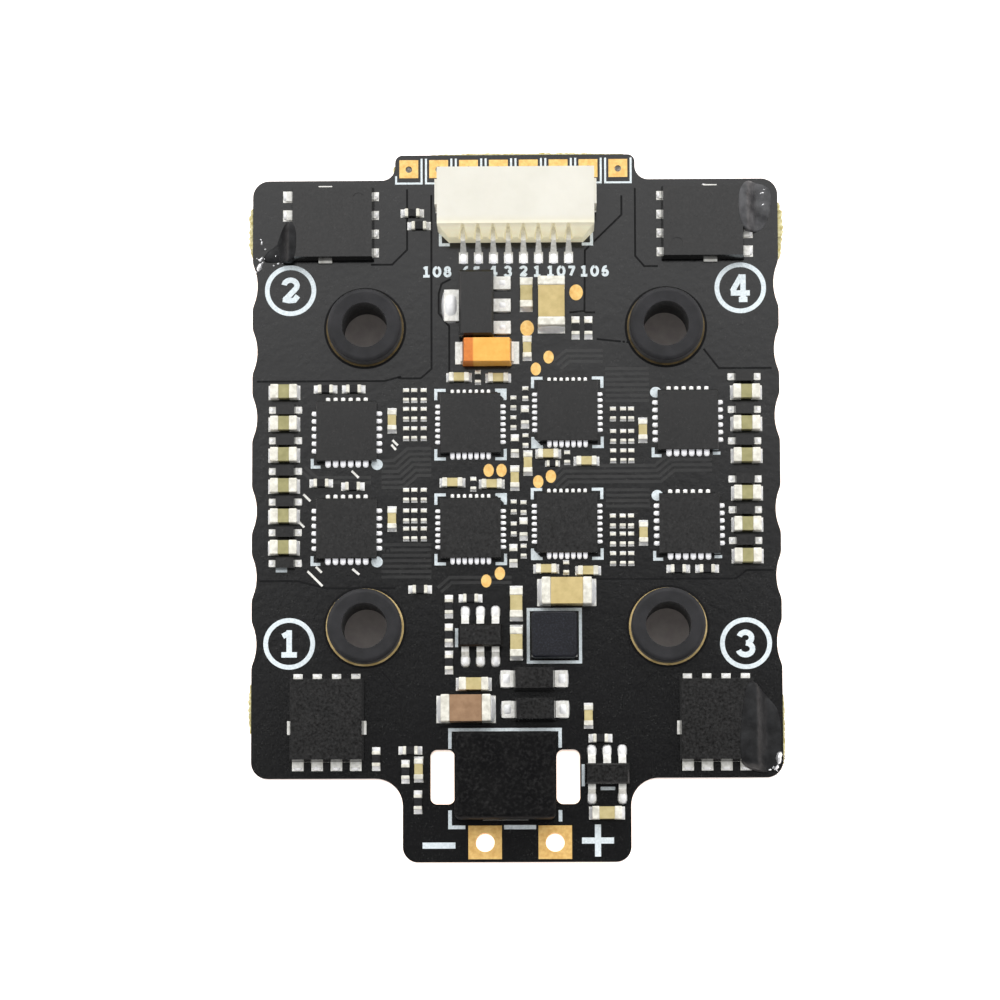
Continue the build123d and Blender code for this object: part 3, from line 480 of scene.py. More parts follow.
def tantalum_shader():
    """Orange resin with the darker stripe that marks the positive end."""
    low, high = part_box("tantalum_body")
    stripe = low.x + (high.x - low.x) * 0.22
    look = Shader("tantalum_resin", gloss=0.3)
    body = look.tint(0.5, (0.84, 0.40, 0.075), (0.90, 0.47, 0.10))
    band = look.tint(0.3, (0.60, 0.17, 0.03), (0.70, 0.22, 0.04))
    place = look.spread(look.axis("X"), 0, 1, stripe - 0.05 * MM, stripe + 0.05 * MM)
    look.plug(look.blend(place, band, body), "Base Color")
    look.rough(0.15, 0.3, 0.5)
    look.bumps(0.12, 0.008, detail=4)
    return look.material


def ink_shader():
    """Printed ink, thinner and greyer in places."""
    look = Shader("legend_ink", gloss=0.3)
    look.cloud(0.12, (0.62, 0.69, 0.72), (0.80, 0.87, 0.90), detail=4)
    look.rough(0.1, 0.5, 0.75)
    look.bumps(0.06, 0.004)
    return look.material


def flux_shader(name, dark, light, gloss):
    """Dried flux: a dark glassy film with cloudy patches."""
    look = Shader(name, gloss)
    look.cloud(0.9, dark, light, 0.35, 0.75, detail=5)
    look.rough(0.35, 0.3, 0.6)
    coarse = look.bumps(0.6, 0.03, detail=4)
    look.bumps(0.15, 0.008, under=coarse, detail=3)
    return look.material


def fibre_shader():
    """Torn laminate: pale yellow resin and glass."""
    look = Shader("broken_laminate")
    look.set("Roughness", 0.8)
    look.cloud(0.25, (0.52, 0.44, 0.16), (0.80, 0.75, 0.46), detail=6)
    look.bumps(0.08, 0.05, detail=6, roughness=0.8)
    return look.material


FLOOR_GLOW = 1.15
# Emission strength of the painted glow on the solder beads.
BEAD_PAINTED_GLOW = 0.5
# Emission, radius and fade of the painted shade on the paper below the grommet bores.
BORE_GLOW = 0.025
BORE_SHADE = 1.6
BORE_FADE = 0.4


def floor_shader():
    """White paper that glows evenly to stay white under the board, with painted shade on the paper below
    the grommet bores.
    """
    look = Shader("studio_floor", gloss=0.0)
    look.set("Roughness", 0.8)
    paper = look.tint(60, (0.80, 0.79, 0.78), (0.82, 0.81, 0.80))
    # Painted shade: darker paper below the grommet bores.
    shaded = look.tint(1.0, (0.34, 0.31, 0.30), (0.42, 0.39, 0.37))
    look.set("Emission Color", (1.0, 0.88, 0.83, 1.0))
    across = middles("grommets")[-1][0] * MM
    folded = []
    for name in ("X", "Y"):
        offset = look.node("Math", look.size_of(look.axis(name)), operation="SUBTRACT")
        offset.inputs[1].default_value = across
        folded.append(offset.outputs[0])
    far = look.length(*folded)
    start, end = BORE_SHADE * MM, (BORE_SHADE + BORE_FADE) * MM
    # The glow falls almost to nothing below the bores, as painted shade.
    glow = look.spread(far, BORE_GLOW, FLOOR_GLOW, start, end)
    look.plug(glow, "Emission Strength")
    open_paper = look.spread(far, 0, 1, start, end)
    look.plug(look.blend(open_paper, shaded, paper), "Base Color")
    return look.material


MASK = mask_shader("solder_mask", (0.0032, 0.0032, 0.0037), (0.0052, 0.0052, 0.0056), 0.14)
TIN = metal_shader("tinned_copper", (0.70, 0.69, 0.64), (0.93, 0.92, 0.88), 0.36, metallic=0.2)
GAP = mask_shader("solder_mask_gap", (0.002, 0.002, 0.0024), (0.003, 0.003, 0.0035), 0.45, 0.15)
RELIEF = mask_shader("solder_mask_trace", (0.013, 0.013, 0.0135), (0.021, 0.021, 0.0205), 0.18)
SOLDER = metal_shader("solder", (0.84, 0.84, 0.85), (0.98, 0.98, 0.98), 0.42, 0.3, 0.003, 0.1)
BEAD = bead_shader()
SPATTER = metal_shader("spattered_solder", (0.80, 0.80, 0.82), (0.97, 0.97, 0.98), 0.2, 0.3, 0.003, 0.7)
WHITE_INK = ink_shader()
FLUX = flux_shader("flux_residue", (0.003, 0.003, 0.0035), (0.020, 0.0205, 0.022), 0.2)
HAZE = flux_shader("flux_haze", (0.020, 0.020, 0.022), (0.110, 0.110, 0.115), 0.35)
# Grey colour of the plugs in the signal-pad vias.
VIA_PLUG = grain_shader("via_plug_grey", (0.15, 0.145, 0.135), (0.22, 0.21, 0.195), 0.6)
FIBRE = fibre_shader()

LOOK_OF_SLOT = {
    "laminate": MASK,
    "gold_pad": metal_shader("gold_plating", (0.74, 0.43, 0.12), (0.90, 0.60, 0.21), 0.4, metallic=0.3),
    "tinned_land": TIN,
    "rubber": rubber_shader(),
    "bulk_ceramic": ceramic_shader("bulk_ceramic", (0.49, 0.38, 0.16), (0.61, 0.48, 0.22)),
    "brown_ceramic": ceramic_shader("brown_ceramic", (0.26, 0.15, 0.080), (0.36, 0.22, 0.125)),
    "olive_ceramic": ceramic_shader("olive_ceramic", (0.27, 0.25, 0.11), (0.38, 0.35, 0.17)),
    "tan_ceramic": ceramic_shader("tan_ceramic", (0.46, 0.38, 0.17), (0.60, 0.51, 0.26)),
    "black_glaze": grain_shader("resistor_glaze", (0.006, 0.006, 0.007), (0.012, 0.012, 0.013), 0.35),
    "end_cap": metal_shader("end_cap_tin", (0.60, 0.58, 0.50), (0.88, 0.86, 0.77), 0.4, 0.4, 0.003, 0.3),
    "orange_resin": tantalum_shader(),
    "tinned_lead": TIN,
    "package_black": grain_shader(
        "package_compound", (0.0034, 0.0032, 0.0032), (0.0066, 0.0062, 0.006), 0.2, 0.09, 0.0007, 0.5
    ),
    "inductor_grey": grain_shader("inductor_ferrite", (0.003, 0.0034, 0.006), (0.008, 0.0088, 0.013), 0.4),
    "suppressor_black": grain_shader(
        "suppressor_compound", (0.003, 0.003, 0.0034), (0.008, 0.0078, 0.0078), 0.6, 0.16, 0.01, 0.06
    ),
    "connector_cream": nylon_shader(),
}
LOOK_OF_NODE = {
    "test_pads": metal_shader("bare_gold", (0.82, 0.48, 0.13), (0.94, 0.64, 0.24), 0.4, metallic=0.3),
    "mounting_rings": ring_shader(),
}
for part in frame["record"]["subparts"]:
    data = nodes[part["node"]].data
    data.materials.clear()
    data.materials.append(LOOK_OF_NODE.get(part["node"], LOOK_OF_SLOT[part["material_slot"]]))


# ---------------- solder joints
LAND_NODES = ("passive_lands", "underside_lands")
CHIP_KINDS = (
    "bulk_capacitor", "filter_capacitor", "boot_capacitor", "medium_capacitor", "small_capacitor",
    "resistor", "divider_resistor", "underside_capacitor", "shunt",
)


def covers(box, point):
    """Whether a point lies inside a box in plan."""
    low, high = box
    return low.x < point.x < high.x and low.y < point.y < high.y


JOINT_TUCK = 0.02
JOINT_OVERLAP = 0.03
JOINT_WIDTH = 0.98
JOINT_CLIMB = (0.6, 0.85)


def overhang(inner, outer):
    """The furthest reach of an outer box past an inner one, and its direction."""
    choices = (
        (outer[1].x - inner[1].x, (1, 0)), (inner[0].x - outer[0].x, (-1, 0)),
        (outer[1].y - inner[1].y, (0, 1)), (inner[0].y - outer[0].y, (0, -1)),
    )
    return max(choices)


def solder_at(soup, cap, land):
    """One joint between the outer face of a cap and the edge of its land."""
    reach, (dx, dy) = overhang(cap, land)
    if reach <= JOINT_TUCK:
        return
    middle = (cap[0] + cap[1]) / 2
    half = (cap[1] - cap[0]) / 2
    at = (middle.x + dx * (half.x - JOINT_TUCK), middle.y + dy * (half.y - JOINT_TUCK))
    width = 2 * (half.y if dx else half.x)
    side = 1 if middle.z > TOP_Z else -1
    base = land[1].z - SUNK if side > 0 else land[0].z + SUNK
    height = (cap[1].z - cap[0].z) * chance.uniform(*JOINT_CLIMB)
    soup.meniscus(at, (dx, dy), width * JOINT_WIDTH, reach + JOINT_OVERLAP, base, height, side)


def chip_solder():
    """A joint at each cap of every chip, one piece for each kind of chip."""
    lands = [box for node in LAND_NODES for box in islands(node)]
    for kind in CHIP_KINDS:
        soup = Soup()
        for cap in islands(kind + "_caps"):
            middle = (cap[0] + cap[1]) / 2
            tall = cap[1].z - cap[0].z
            near = [
                land for land in lands
                if covers(land, middle) and abs((land[0].z + land[1].z) / 2 - middle.z) < tall
            ]
            if near:
                solder_at(soup, cap, near[0])
        soup.make(kind + "_solder", SOLDER, smooth=True)


BEAD_TUCK = 0.05
BEAD_OVERLAP = 0.08
BEAD_TALL = (0.22, 0.3)
# Length and width of a bead against its terminal, by the side of the package it shows on.
BEAD_GROWTH = {
    "power end": (1.3, 1.35),
    "signal end": (0.75, 1.0),
    "side": (1.15, 1.12),
}


def inside_end(low, high, outward, inwards):
    """The point a distance inwards from the middle of a box's outward side."""
    dx, dy = outward
    middle = (low + high) / 2
    x = (high.x if dx > 0 else low.x) - dx * inwards if dx else middle.x
    y = (high.y if dy > 0 else low.y) - dy * inwards if dy else middle.y
    return x, y


def terminal_solder(kind):
    """A small bead on each terminal that shows outside a leadless package."""
    soup = Soup()
    packages = islands(kind + "_bodies")
    for low, high in islands(kind + "_terminals"):
        middle = (low + high) / 2
        body = min(packages, key=lambda b: ((b[0] + b[1]) / 2 - middle).length)
        reach, (dx, dy) = overhang(body, (low, high))
        if reach <= BEAD_TUCK:
            continue
        side = "side" if dx else "power end" if dy < 0 else "signal end"
        length, width = BEAD_GROWTH[side]
        along = (reach + BEAD_OVERLAP) * length
        across = min(high.x - low.x, high.y - low.y) * width
        x, y = inside_end(low, high, (dx, dy), along / 2 - BEAD_TUCK)
        size = (along, across) if dx else (across, along)
        soup.dome(x, y, *size, TOP_Z + INK, chance.uniform(*BEAD_TALL) * length)
    # The bead material carries a painted glow.
    soup.make(kind + "_solder", BEAD, smooth=True)


FET_BEAD_LEAST = 0.2
FET_BEAD_SHARE = 0.8
FET_BEAD_TALL = (0.16, 0.26)


def transistor_solder():
    """Beads over the land that shows past each top transistor's leads."""
    soup = Soup()
    metal = islands("top_transistor_leads")
    for low, high in islands("transistor_lands"):
        middle = (low + high) / 2
        over = [lead for lead in metal if covers(lead, middle)]
        lead = over[0] if over else (low, high)
        reach, (dx, dy) = overhang(lead, (low, high))
        size = high - low
        along = max(reach, FET_BEAD_LEAST) + FET_BEAD_LEAST
        x, y = inside_end(low, high, (dx, dy), along / 2)
        span = (along, size.y * FET_BEAD_SHARE) if dx else (size.x * FET_BEAD_SHARE, along)
        soup.dome(x, y, *span, TOP_Z + INK, chance.uniform(*FET_BEAD_TALL))
    soup.make("top_transistor_solder", SOLDER, smooth=True)


GULL_FOOT = (0.64, 0.86)
GULL_FOOT_IN = 0.22
GULL_FOOT_TALL = (0.26, 0.32)
LEAD_SPREAD = 1.1
REGULATOR_TAB_REACH = 1
# Outward shift in millimetres, then length and height against the lead, then squareness.
REGULATOR_TAB_BLOB = (0.05, 1.3, 1.5, 3)
REGULATOR_LEG_BLOB = (0.02, 1.02, 1.12, 6)
DIODE_SHIFT = 0.06
DIODE_BLOB = (1.06, 1.25, 6)
# Only the low solids of the tantalum's terminals are feet.
TANTALUM_FOOT_MOST = 0.3
TANTALUM_FOOT_SPREAD = (1.1, 1.05)
TANTALUM_FOOT_TALL = 0.25


def lead_blob(soup, low, high, away, shift, length, height, square):
    """Solder that covers a lead, moved outwards along X."""
    size = high - low
    middle = (low + high) / 2
    x = middle.x + away * shift
    long, wide, tall = size.x * length, size.y * LEAD_SPREAD, size.z * height
    soup.dome(x, middle.y, long, wide, TOP_Z, tall, square=square)


def package_solder():
    """Joints at the feet of formed leads, of the diodes and of the tantalum capacitor."""
    soup = Soup()
    for node in ("buck_converter_leads", "current_amplifier_leads"):
        node_low, node_high = box_mm(node)
        for low, high in islands(node):
            signal_side = low.y + high.y > node_low.y + node_high.y
            y = high.y - GULL_FOOT_IN if signal_side else low.y + GULL_FOOT_IN
            tall = chance.uniform(*GULL_FOOT_TALL)
            soup.dome((low.x + high.x) / 2, y, *GULL_FOOT, TOP_Z, tall, square=3)
    body_low, _ = box_mm("regulator_body")
    for low, high in islands("regulator_leads"):
        if (low.x + high.x) / 2 > body_low.x + REGULATOR_TAB_REACH:
            lead_blob(soup, low, high, 1, *REGULATOR_LEG_BLOB)
        else:
            lead_blob(soup, low, high, -1, *REGULATOR_TAB_BLOB)
    for kind in ("freewheel_diode", "boot_diode"):
        places = [x for x, _ in middles(kind + "_bodies")]
        for low, high in islands(kind + "_leads"):
            x = (low.x + high.x) / 2
            away = 1 if x > min(places, key=lambda place: abs(place - x)) else -1
            lead_blob(soup, low, high, away, (high.x - low.x) * DIODE_SHIFT, *DIODE_BLOB)
    for low, high in islands("tantalum_terminals"):
        if high.z - low.z <= TANTALUM_FOOT_MOST:
            middle = (low + high) / 2
            long = (high.x - low.x) * TANTALUM_FOOT_SPREAD[0]
            wide = (high.y - low.y) * TANTALUM_FOOT_SPREAD[1]
            soup.dome(middle.x, middle.y, long, wide, TOP_Z, TANTALUM_FOOT_TALL, square=5)
    soup.make("package_solder", SOLDER, smooth=True)


SOCKET_FOOT = (0.58, 0.8)
SOCKET_FOOT_IN = 0.36
SOCKET_FOOT_TALL = 0.3
TAB_LANDS_FROM_Y = 17


def socket_solder():
    """Bright joints at the feet of the socket's pins, made brighter by the beads' painted glow."""
    soup = Soup()
    for low, high in islands("connector_lands"):
        if high.y < TAB_LANDS_FROM_Y:
            x, y = (low.x + high.x) / 2, low.y + SOCKET_FOOT_IN
            soup.dome(x, y, *SOCKET_FOOT, TOP_Z + INK, SOCKET_FOOT_TALL, square=3.5)
    soup.make("socket_solder", BEAD, smooth=True)


chip_solder()
terminal_solder("microcontroller")
terminal_solder("gate_driver")
transistor_solder()
package_solder()
socket_solder()


# ---------------- printed legend
RING_STEPS = 64
RING_OUT = 1.71
RING_WIDTH = 0.31
RING_NUMBERS = ((-14.97, 12.57, "2"), (14.97, 12.6, "4"), (-15.0, -11.07, "1"), (15.12, -11.15, "3"))
NUMBER_SIZE = (1.02, 1.46)
NUMBER_STROKE = 0.36
PIN_LABELS = (
    (-5.21, "108"), (-2.9, "65"), (-1.45, "4"), (-0.48, "3"),
    (0.55, "2"), (1.47, "1"), (3.06, "107"), (5.29, "106"),
)
PIN_LABEL_SIZE = (0.43, 0.6)
PIN_LABEL_STROKE = 0.18
PIN_LABEL_PITCH = 0.7
PIN_LABEL_Y = 13.8
# Strokes of each bold numeral in a box one unit wide and one unit high.
NUMERALS = {
    "0": [arc(0.5, 0.5, 0.48, 0.5, 90, 440)],
    "1": [[(0.5, 1.12), (0.5, 0.0)], [(0.08, 0.84), (0.4, 0.96)], [(0.0, 0.0), (1.0, 0.0)]],
    "2": [
        arc(0.5, 0.74, 0.42, 0.25, 175, -30) + [(0.1, 0.05)],
        [(0.0, 0.1), (0.42, 0.04), (0.75, 0.06), (0.98, 0.26)],
    ],
    "3": [arc(0.46, 0.75, 0.4, 0.25, 165, -80), arc(0.46, 0.25, 0.46, 0.27, 85, -165)],
    "4": [
        [(0.58, 1.08), (-0.02, 0.34)], [(-0.12, 0.26), (1.12, 0.26)],
        [(0.68, 1.12), (0.68, 0.0)], [(0.4, -0.04), (0.96, -0.04)],
    ],
    "5": [
        [(0.9, 0.95), (0.15, 0.95)], [(0.2, 1.0), (0.16, 0.5)],
        arc(0.47, 0.32, 0.42, 0.28, 125, -155),
    ],
    "6": [arc(0.66, 0.5, 0.5, 0.48, 80, 190), arc(0.5, 0.28, 0.38, 0.27, 170, -170)],
    "7": [[(0.0, 0.95), (1.0, 0.95)], [(0.92, 1.0), (0.35, 0.0)]],
    "8": [arc(0.5, 0.75, 0.32, 0.22, -80, 260), arc(0.5, 0.27, 0.4, 0.26, 100, 440)],
}


def line(soup, path, width, closed=False):
    """One printed line on the mask."""
    soup.strip(path, width, TOP_Z, TOP_Z + INK, closed)


def write(soup, symbol, x, y, size, stroke):
    """Prints one numeral, centred on a point, each stroke a hair above the last."""
    for k, path in enumerate(NUMERALS[symbol]):
        placed = [(x + (u - 0.5) * size[0], y + (v - 0.5) * size[1]) for u, v in path]
        soup.strip(placed, stroke, TOP_Z, TOP_Z + INK + k * LAYER)


def legend_numbers():
    """Ringed channel numbers and the numerals in front of the socket."""
    soup = Soup()
    for x, y, symbol in RING_NUMBERS:
        radius = RING_OUT - RING_WIDTH / 2
        line(soup, circle(x, y, radius, RING_STEPS), RING_WIDTH, closed=True)
        write(soup, symbol, x, y, NUMBER_SIZE, NUMBER_STROKE)
    for middle, label in PIN_LABELS:
        for i, symbol in enumerate(label):
            x = middle + (i - (len(label) - 1) / 2) * PIN_LABEL_PITCH
            write(soup, symbol, x, PIN_LABEL_Y, PIN_LABEL_SIZE, PIN_LABEL_STROKE)
    soup.make("legend_numbers", WHITE_INK)


BRACKET_OUT = 2.3
BRACKET_WIDTH = 0.2
CONTROLLER_LEG = 0.66
DRIVER_LEG = 0.55
WEDGE_OUT = 0.05
WEDGE_SIDE = 0.75
# Pin-one dots and the dash beside the gate drivers, from the middle of the package.
DOT_LEFT = (2.0, -2.15)
DOT_RIGHT = (-2.1, 1.95)
DOT_RADIUS = (0.38, 0.36)
DASH_FROM = (1.65, 0.15 - BRACKET_OUT)
DASH_LENGTH = 0.5


def bracket(soup, x, y, corner_x, corner_y, leg):
    """An L at one corner of a package, with its legs pointing inwards."""
    cx, cy = x + corner_x * BRACKET_OUT, y + corner_y * BRACKET_OUT
    path = [(cx - corner_x * leg, cy), (cx, cy), (cx, cy - corner_y * leg)]
    line(soup, path, BRACKET_WIDTH)


def legend_packages():
    """Corner brackets and pin-one marks round the leadless packages."""
    soup = Soup()
    for x, y in middles("microcontroller_bodies"):
        for corner_x in (-1, 1):
            for corner_y in (-1, 1):
                bracket(soup, x, y, corner_x, corner_y, CONTROLLER_LEG)
        first = 1 if x < 0 else -1
        cx, cy = x + first * (BRACKET_OUT + WEDGE_OUT), y + first * (BRACKET_OUT + WEDGE_OUT)
        wedge = [(cx, cy), (cx - first * WEDGE_SIDE, cy), (cx, cy - first * WEDGE_SIDE)]
        soup.prism(wedge, TOP_Z, TOP_Z + INK + LAYER)
    for x, y in middles("gate_driver_bodies"):
        bracket(soup, x, y, -1, -1, DRIVER_LEG)
        dot_x, dot_y = DOT_LEFT if x < 0 else DOT_RIGHT
        if x > 0:
            start = (x + DASH_FROM[0], y + DASH_FROM[1])
            line(soup, [start, (start[0] + DASH_LENGTH, start[1])], BRACKET_WIDTH)
        dot = arc(x + dot_x, y + dot_y, *DOT_RADIUS, 0, 360, 24)[:-1]
        soup.prism(dot, TOP_Z, TOP_Z + INK)
    soup.make("legend_packages", WHITE_INK)


def outline_of(node, gap):
    """A rectangle a gap outside a node's plan box."""
    low, high = box_mm(node)
    x0, x1, y0, y1 = low.x - gap, high.x + gap, low.y - gap, high.y + gap
    return [(x0, y0), (x1, y0), (x1, y1), (x0, y1)]


INDUCTOR_GAP = 0.22
INDUCTOR_LINE = 0.2
SUPPRESSOR_GAP = 0.3
SUPPRESSOR_LINE = 0.22
SUPPRESSOR_FOOT_LINE = 0.24
SUPPRESSOR_DASH = (-0.85, 1.25)
SUPPRESSOR_DASH_WIDTH = 0.28
SIGN_WIDTH = 0.4
SIGN_ARM = 1.05
PLUS_AT = (5.3, -24.1)
MINUS_X = (-6.2, -4.05)
MINUS_Y = -24.4
# Beside, below and above each signal pad.
PAD_GAP = (0.22, 0.36, 0.1)
PAD_LINE = 0.13
PAD_SHORT_LEG = 0.5
FIRST_PAD_X = -7.5
SOCKET_MARK_X = ((-4.98, -4.35), (5.1, 4.45))
SOCKET_MARK_Y = (16.4, 15.62)
MARK_WIDTH = 0.2
# Lines along the left side of a package: how far they stop short of its ends, and their width.
SIDE_LINES = (("buck_converter_body", 0.05, 0.2, 0.22), ("current_amplifier_body", -0.1, 0.0, 0.2))
SIDE_LINE_GAP = 0.12
AMPLIFIER_DASH = (5.5, 6.45)
AMPLIFIER_DASH_DROP = 0.25
AMPLIFIER_DASH_WIDTH = 0.22
DIODE_DASH = [(-15.9, -6.22), (-15.15, -6.22)]


def suppressor_lines(soup):
    """Parts of an outline round the suppressor."""
    (x0, y0), (x1, _), (_, y1), _ = outline_of("suppressor_body", SUPPRESSOR_GAP)
    left, foot, leg = x0 - 0.05, y0 - 0.16, 0.95
    line(soup, [(left, y1 - 1.25), (left, y1), (x1, y1), (x1, y1 - 1.2)], SUPPRESSOR_LINE)
    line(soup, [(left, y0 + leg), (left, foot), (x0 + leg, foot)], SUPPRESSOR_FOOT_LINE)
    line(soup, [(x, foot) for x in SUPPRESSOR_DASH], SUPPRESSOR_DASH_WIDTH)
    line(soup, [(x1, y0 + leg), (x1, y0 + 0.2)], SUPPRESSOR_FOOT_LINE)


def polarity_signs(soup):
    """A minus and a plus beside the battery leads."""
    x, y = PLUS_AT
    half = SIGN_WIDTH / 2
    line(soup, [(end, MINUS_Y) for end in MINUS_X], SIGN_WIDTH)
    line(soup, [(x - SIGN_ARM, y), (x - half, y)], SIGN_WIDTH)
    line(soup, [(x + half, y), (x + SIGN_ARM, y)], SIGN_WIDTH)
    line(soup, [(x, y - SIGN_ARM), (x, y + SIGN_ARM)], SIGN_WIDTH)


def pad_lines(soup):
    """A tray round each signal pad, open to the board's edge."""
    side, lower, upper = PAD_GAP
    for low, high in islands("signal_pads"):
        x0, x1, y0, y1 = low.x - side, high.x + side, low.y - lower, high.y + upper
        start = y1 if x0 > FIRST_PAD_X else y0 + PAD_SHORT_LEG
        line(soup, [(x0, start), (x0, y0), (x1, y0), (x1, y1)], PAD_LINE)


def part_marks(soup):
    """Corners in front of the socket, and dashes beside the small packages."""
    top, foot = SOCKET_MARK_Y
    for outer, inner in SOCKET_MARK_X:
        line(soup, [(outer, top), (outer, foot), (inner, foot)], MARK_WIDTH)
    for node, lower, upper, width in SIDE_LINES:
        low, high = box_mm(node)
        x = low.x - SIDE_LINE_GAP
        line(soup, [(x, low.y + lower), (x, high.y - upper)], width)
    y = box_mm("current_amplifier_body")[0].y - AMPLIFIER_DASH_DROP
    line(soup, [(x, y) for x in AMPLIFIER_DASH], AMPLIFIER_DASH_WIDTH)
    line(soup, DIODE_DASH, MARK_WIDTH)


def legend_lines():
    """Printed outlines, polarity signs and marks, as one piece."""
    soup = Soup()
    line(soup, outline_of("inductor_core", INDUCTOR_GAP), INDUCTOR_LINE, closed=True)
    suppressor_lines(soup)
    polarity_signs(soup)
    pad_lines(soup)
    part_marks(soup)
    soup.make("legend_lines", WHITE_INK)


legend_numbers()
legend_packages()
legend_lines()


# ---------------- copper under the mask
GAP_WIDTH = 0.13
RING_GAP = 0.16
TRACE_WIDTH = 0.2
TRACE_PITCH = 0.36
TRACE_RISE = 0.014
VIA_RADIUS = 0.14
VIA_RIM = 0.1
VIA_RISE = 0.018
VIA_FILL = 0.3
VIA_FILL_FROM = 0.1
VIA_FILL_SINK = 0.06
BARE_WIDTH = 0.15
BARE_RISE = 0.03
GAP_PATHS = (
    [(-17.2, 6.45), (-8.7, 6.45), (-7.6, 6.75)],
    [(-5.58, 19.0), (-5.58, 7.25), (-6.3, 6.62), (-7.8, 6.62)],
    [(-4.9, 13.0), (-5.1, 12.3), (-5.1, 11.0), (-4.4, 10.1), (-4.4, 6.7)],
    [(-4.9, 13.0), (-4.3, 13.3)],
    [(7.1, 18.9), (7.1, 17.6), (4.65, 15.2), (4.6, 11.1), (3.6, 11.0)],
    [(4.6, 11.0), (5.3, 11.0)],
    [(5.4, 9.2), (8.2, 8.9), (9.0, 8.3), (9.0, 7.6)],
    [(12.5, 8.5), (13.5, 7.2), (17.0, 7.2)],
    [(-17.0, -6.9), (-14.5, -6.9), (-12.5, -7.4), (-8.0, -7.4)],
    [(5.0, -6.85), (14.5, -6.85), (15.2, -6.3), (17.0, -6.3)],
    [(-8.8, -13.0), (-7.6, -14.4), (-7.6, -16.8)],
    [(9.2, -13.0), (7.9, -14.2), (7.9, -17.6), (8.9, -18.6), (8.9, -19.8)],
    [(-5.7, -17.2), (-4.9, -16.6), (3.4, -16.6), (4.1, -17.2)],
    [(-9.6, 14.3), (-8.2, 14.3), (-7.2, 15.3), (-7.2, 19.4)],
    [(9.5, 14.1), (8.6, 14.1), (8.0, 14.8), (8.0, 19.4)],
)
# The first trace of each bundle, and the count of traces; the others lie to its left.
BUNDLES = (
    ([(-5.6, 1.9), (-7.2, 1.9), (-8.1, 1.1), (-8.9, 1.1)], 6),
    ([(-5.6, -4.5), (-8.9, -4.5)], 7),
    ([(8.85, 7.2), (5.95, 7.2)], 7),
    ([(2.9, -0.95), (3.5, -0.38), (9.6, -0.38), (10.5, 0.37), (13.0, 0.37)], 4),
    ([(5.95, -2.0), (8.85, -2.0)], 4),
    ([(3.0, 7.2), (3.6, 7.7), (5.8, 7.7)], 3),
    ([(-9.6, 0.0), (-13.2, 0.0), (-14.0, 0.7)], 2),
    ([(-0.3, -6.7), (-4.4, -6.7), (-5.2, -7.4)], 2),
)
VIA_PLACES = (
    (-7.75, 6.4), (-8.35, 6.1), (-13.9, 3.8), (-14.0, -2.7), (-8.0, 5.4), (-8.7, 5.0),
    (-15.7, 5.07), (-15.75, -1.15), (-8.5, -4.9), (-9.0, -5.0), (5.25, 7.2), (5.7, 6.9),
    (8.4, -2.3), (8.8, 4.5), (9.1, -3.2), (-4.0, 0.3), (-0.6, 0.95), (-5.5, 4.0),
    (7.2, 9.0), (6.6, 8.6), (6.0, 12.0), (-7.0, 11.5), (-6.6, -9.5), (-6.2, -11.0),
    (-6.4, -13.0), (6.8, -9.8), (6.5, -12.4), (6.2, -14.2), (7.2, -15.4), (-8.3, -9.0),
)
# Centre, direction in degrees and length.
BARE_STROKES = (
    (-10.65, 0.2, -45, 0.65), (-13.85, -1.35, -45, 0.65), (-14.2, -3.15, -45, 0.5),
    (-13.05, -6.15, -45, 0.55), (-13.3, -6.75, -45, 1.4), (-10.6, -6.3, -40, 0.6),
    (-8.0, 2.3, -45, 0.5), (-8.1, 2.0, -50, 0.45),
)


def copper_gaps():
    """Narrow dark clearances between the copper areas."""
    soup = Soup()
    for path in GAP_PATHS:
        soup.strip(path, GAP_WIDTH, TOP_Z - SUNK, TOP_Z + GROOVE)
    for low, high in islands("mounting_rings"):
        if high.z > TOP_Z:
            middle = (low + high) / 2
            radius = (high.x - low.x) / 2 + RING_GAP / 2
            ring = circle(middle.x, middle.y, radius, RING_STEPS)
            soup.strip(ring, RING_GAP, TOP_Z - SUNK, TOP_Z + GROOVE + LAYER, closed=True)
    soup.make("copper_gaps", GAP)


def traces():
    """Bundles of parallel traces that show as low ridges in the mask."""
    soup = Soup()
    for path, count in BUNDLES:
        for i in range(count):
            lane = path if i == 0 else ribbon(path, 2 * i * TRACE_PITCH)[0]
            soup.strip(lane, TRACE_WIDTH, TOP_Z - SUNK, TOP_Z + TRACE_RISE)
    soup.make("copper_traces", RELIEF)


def via_rims():
    """Tented vias: small raised rings under the mask."""
    soup = Soup()
    for x, y in VIA_PLACES:
        rim = circle(x, y, VIA_RADIUS, 16)
        soup.strip(rim, VIA_RIM, TOP_Z - SUNK, TOP_Z + VIA_RISE, closed=True)
    soup.make("tented_vias", MASK)


def via_fills():
    """Grey plugs that fill the vias of the signal pads from below."""
    soup = Soup()
    for x, y in middles("signal_pads"):
        soup.prism(circle(x, y, VIA_FILL, 20), BOTTOM_Z + VIA_FILL_FROM, TOP_Z - VIA_FILL_SINK)
    soup.make("via_fills", VIA_PLUG)


def bare_strokes():
    """Short bright lengths of bare trace where the mask is scraped thin."""
    soup = Soup()
    for x, y, angle, length in BARE_STROKES:
        dx = math.cos(math.radians(angle)) * length / 2
        dy = math.sin(math.radians(angle)) * length / 2
        path = [(x - dx, y - dy), (x + dx, y + dy)]
        soup.strip(path, BARE_WIDTH, TOP_Z, TOP_Z + BARE_RISE)
    soup.make("bare_strokes", TIN)


copper_gaps()
traces()
via_rims()
via_fills()
bare_strokes()


# ---------------- edges and residue
SIDE_X, END_Y = BOARD_HIGH.x, BOARD_HIGH.y
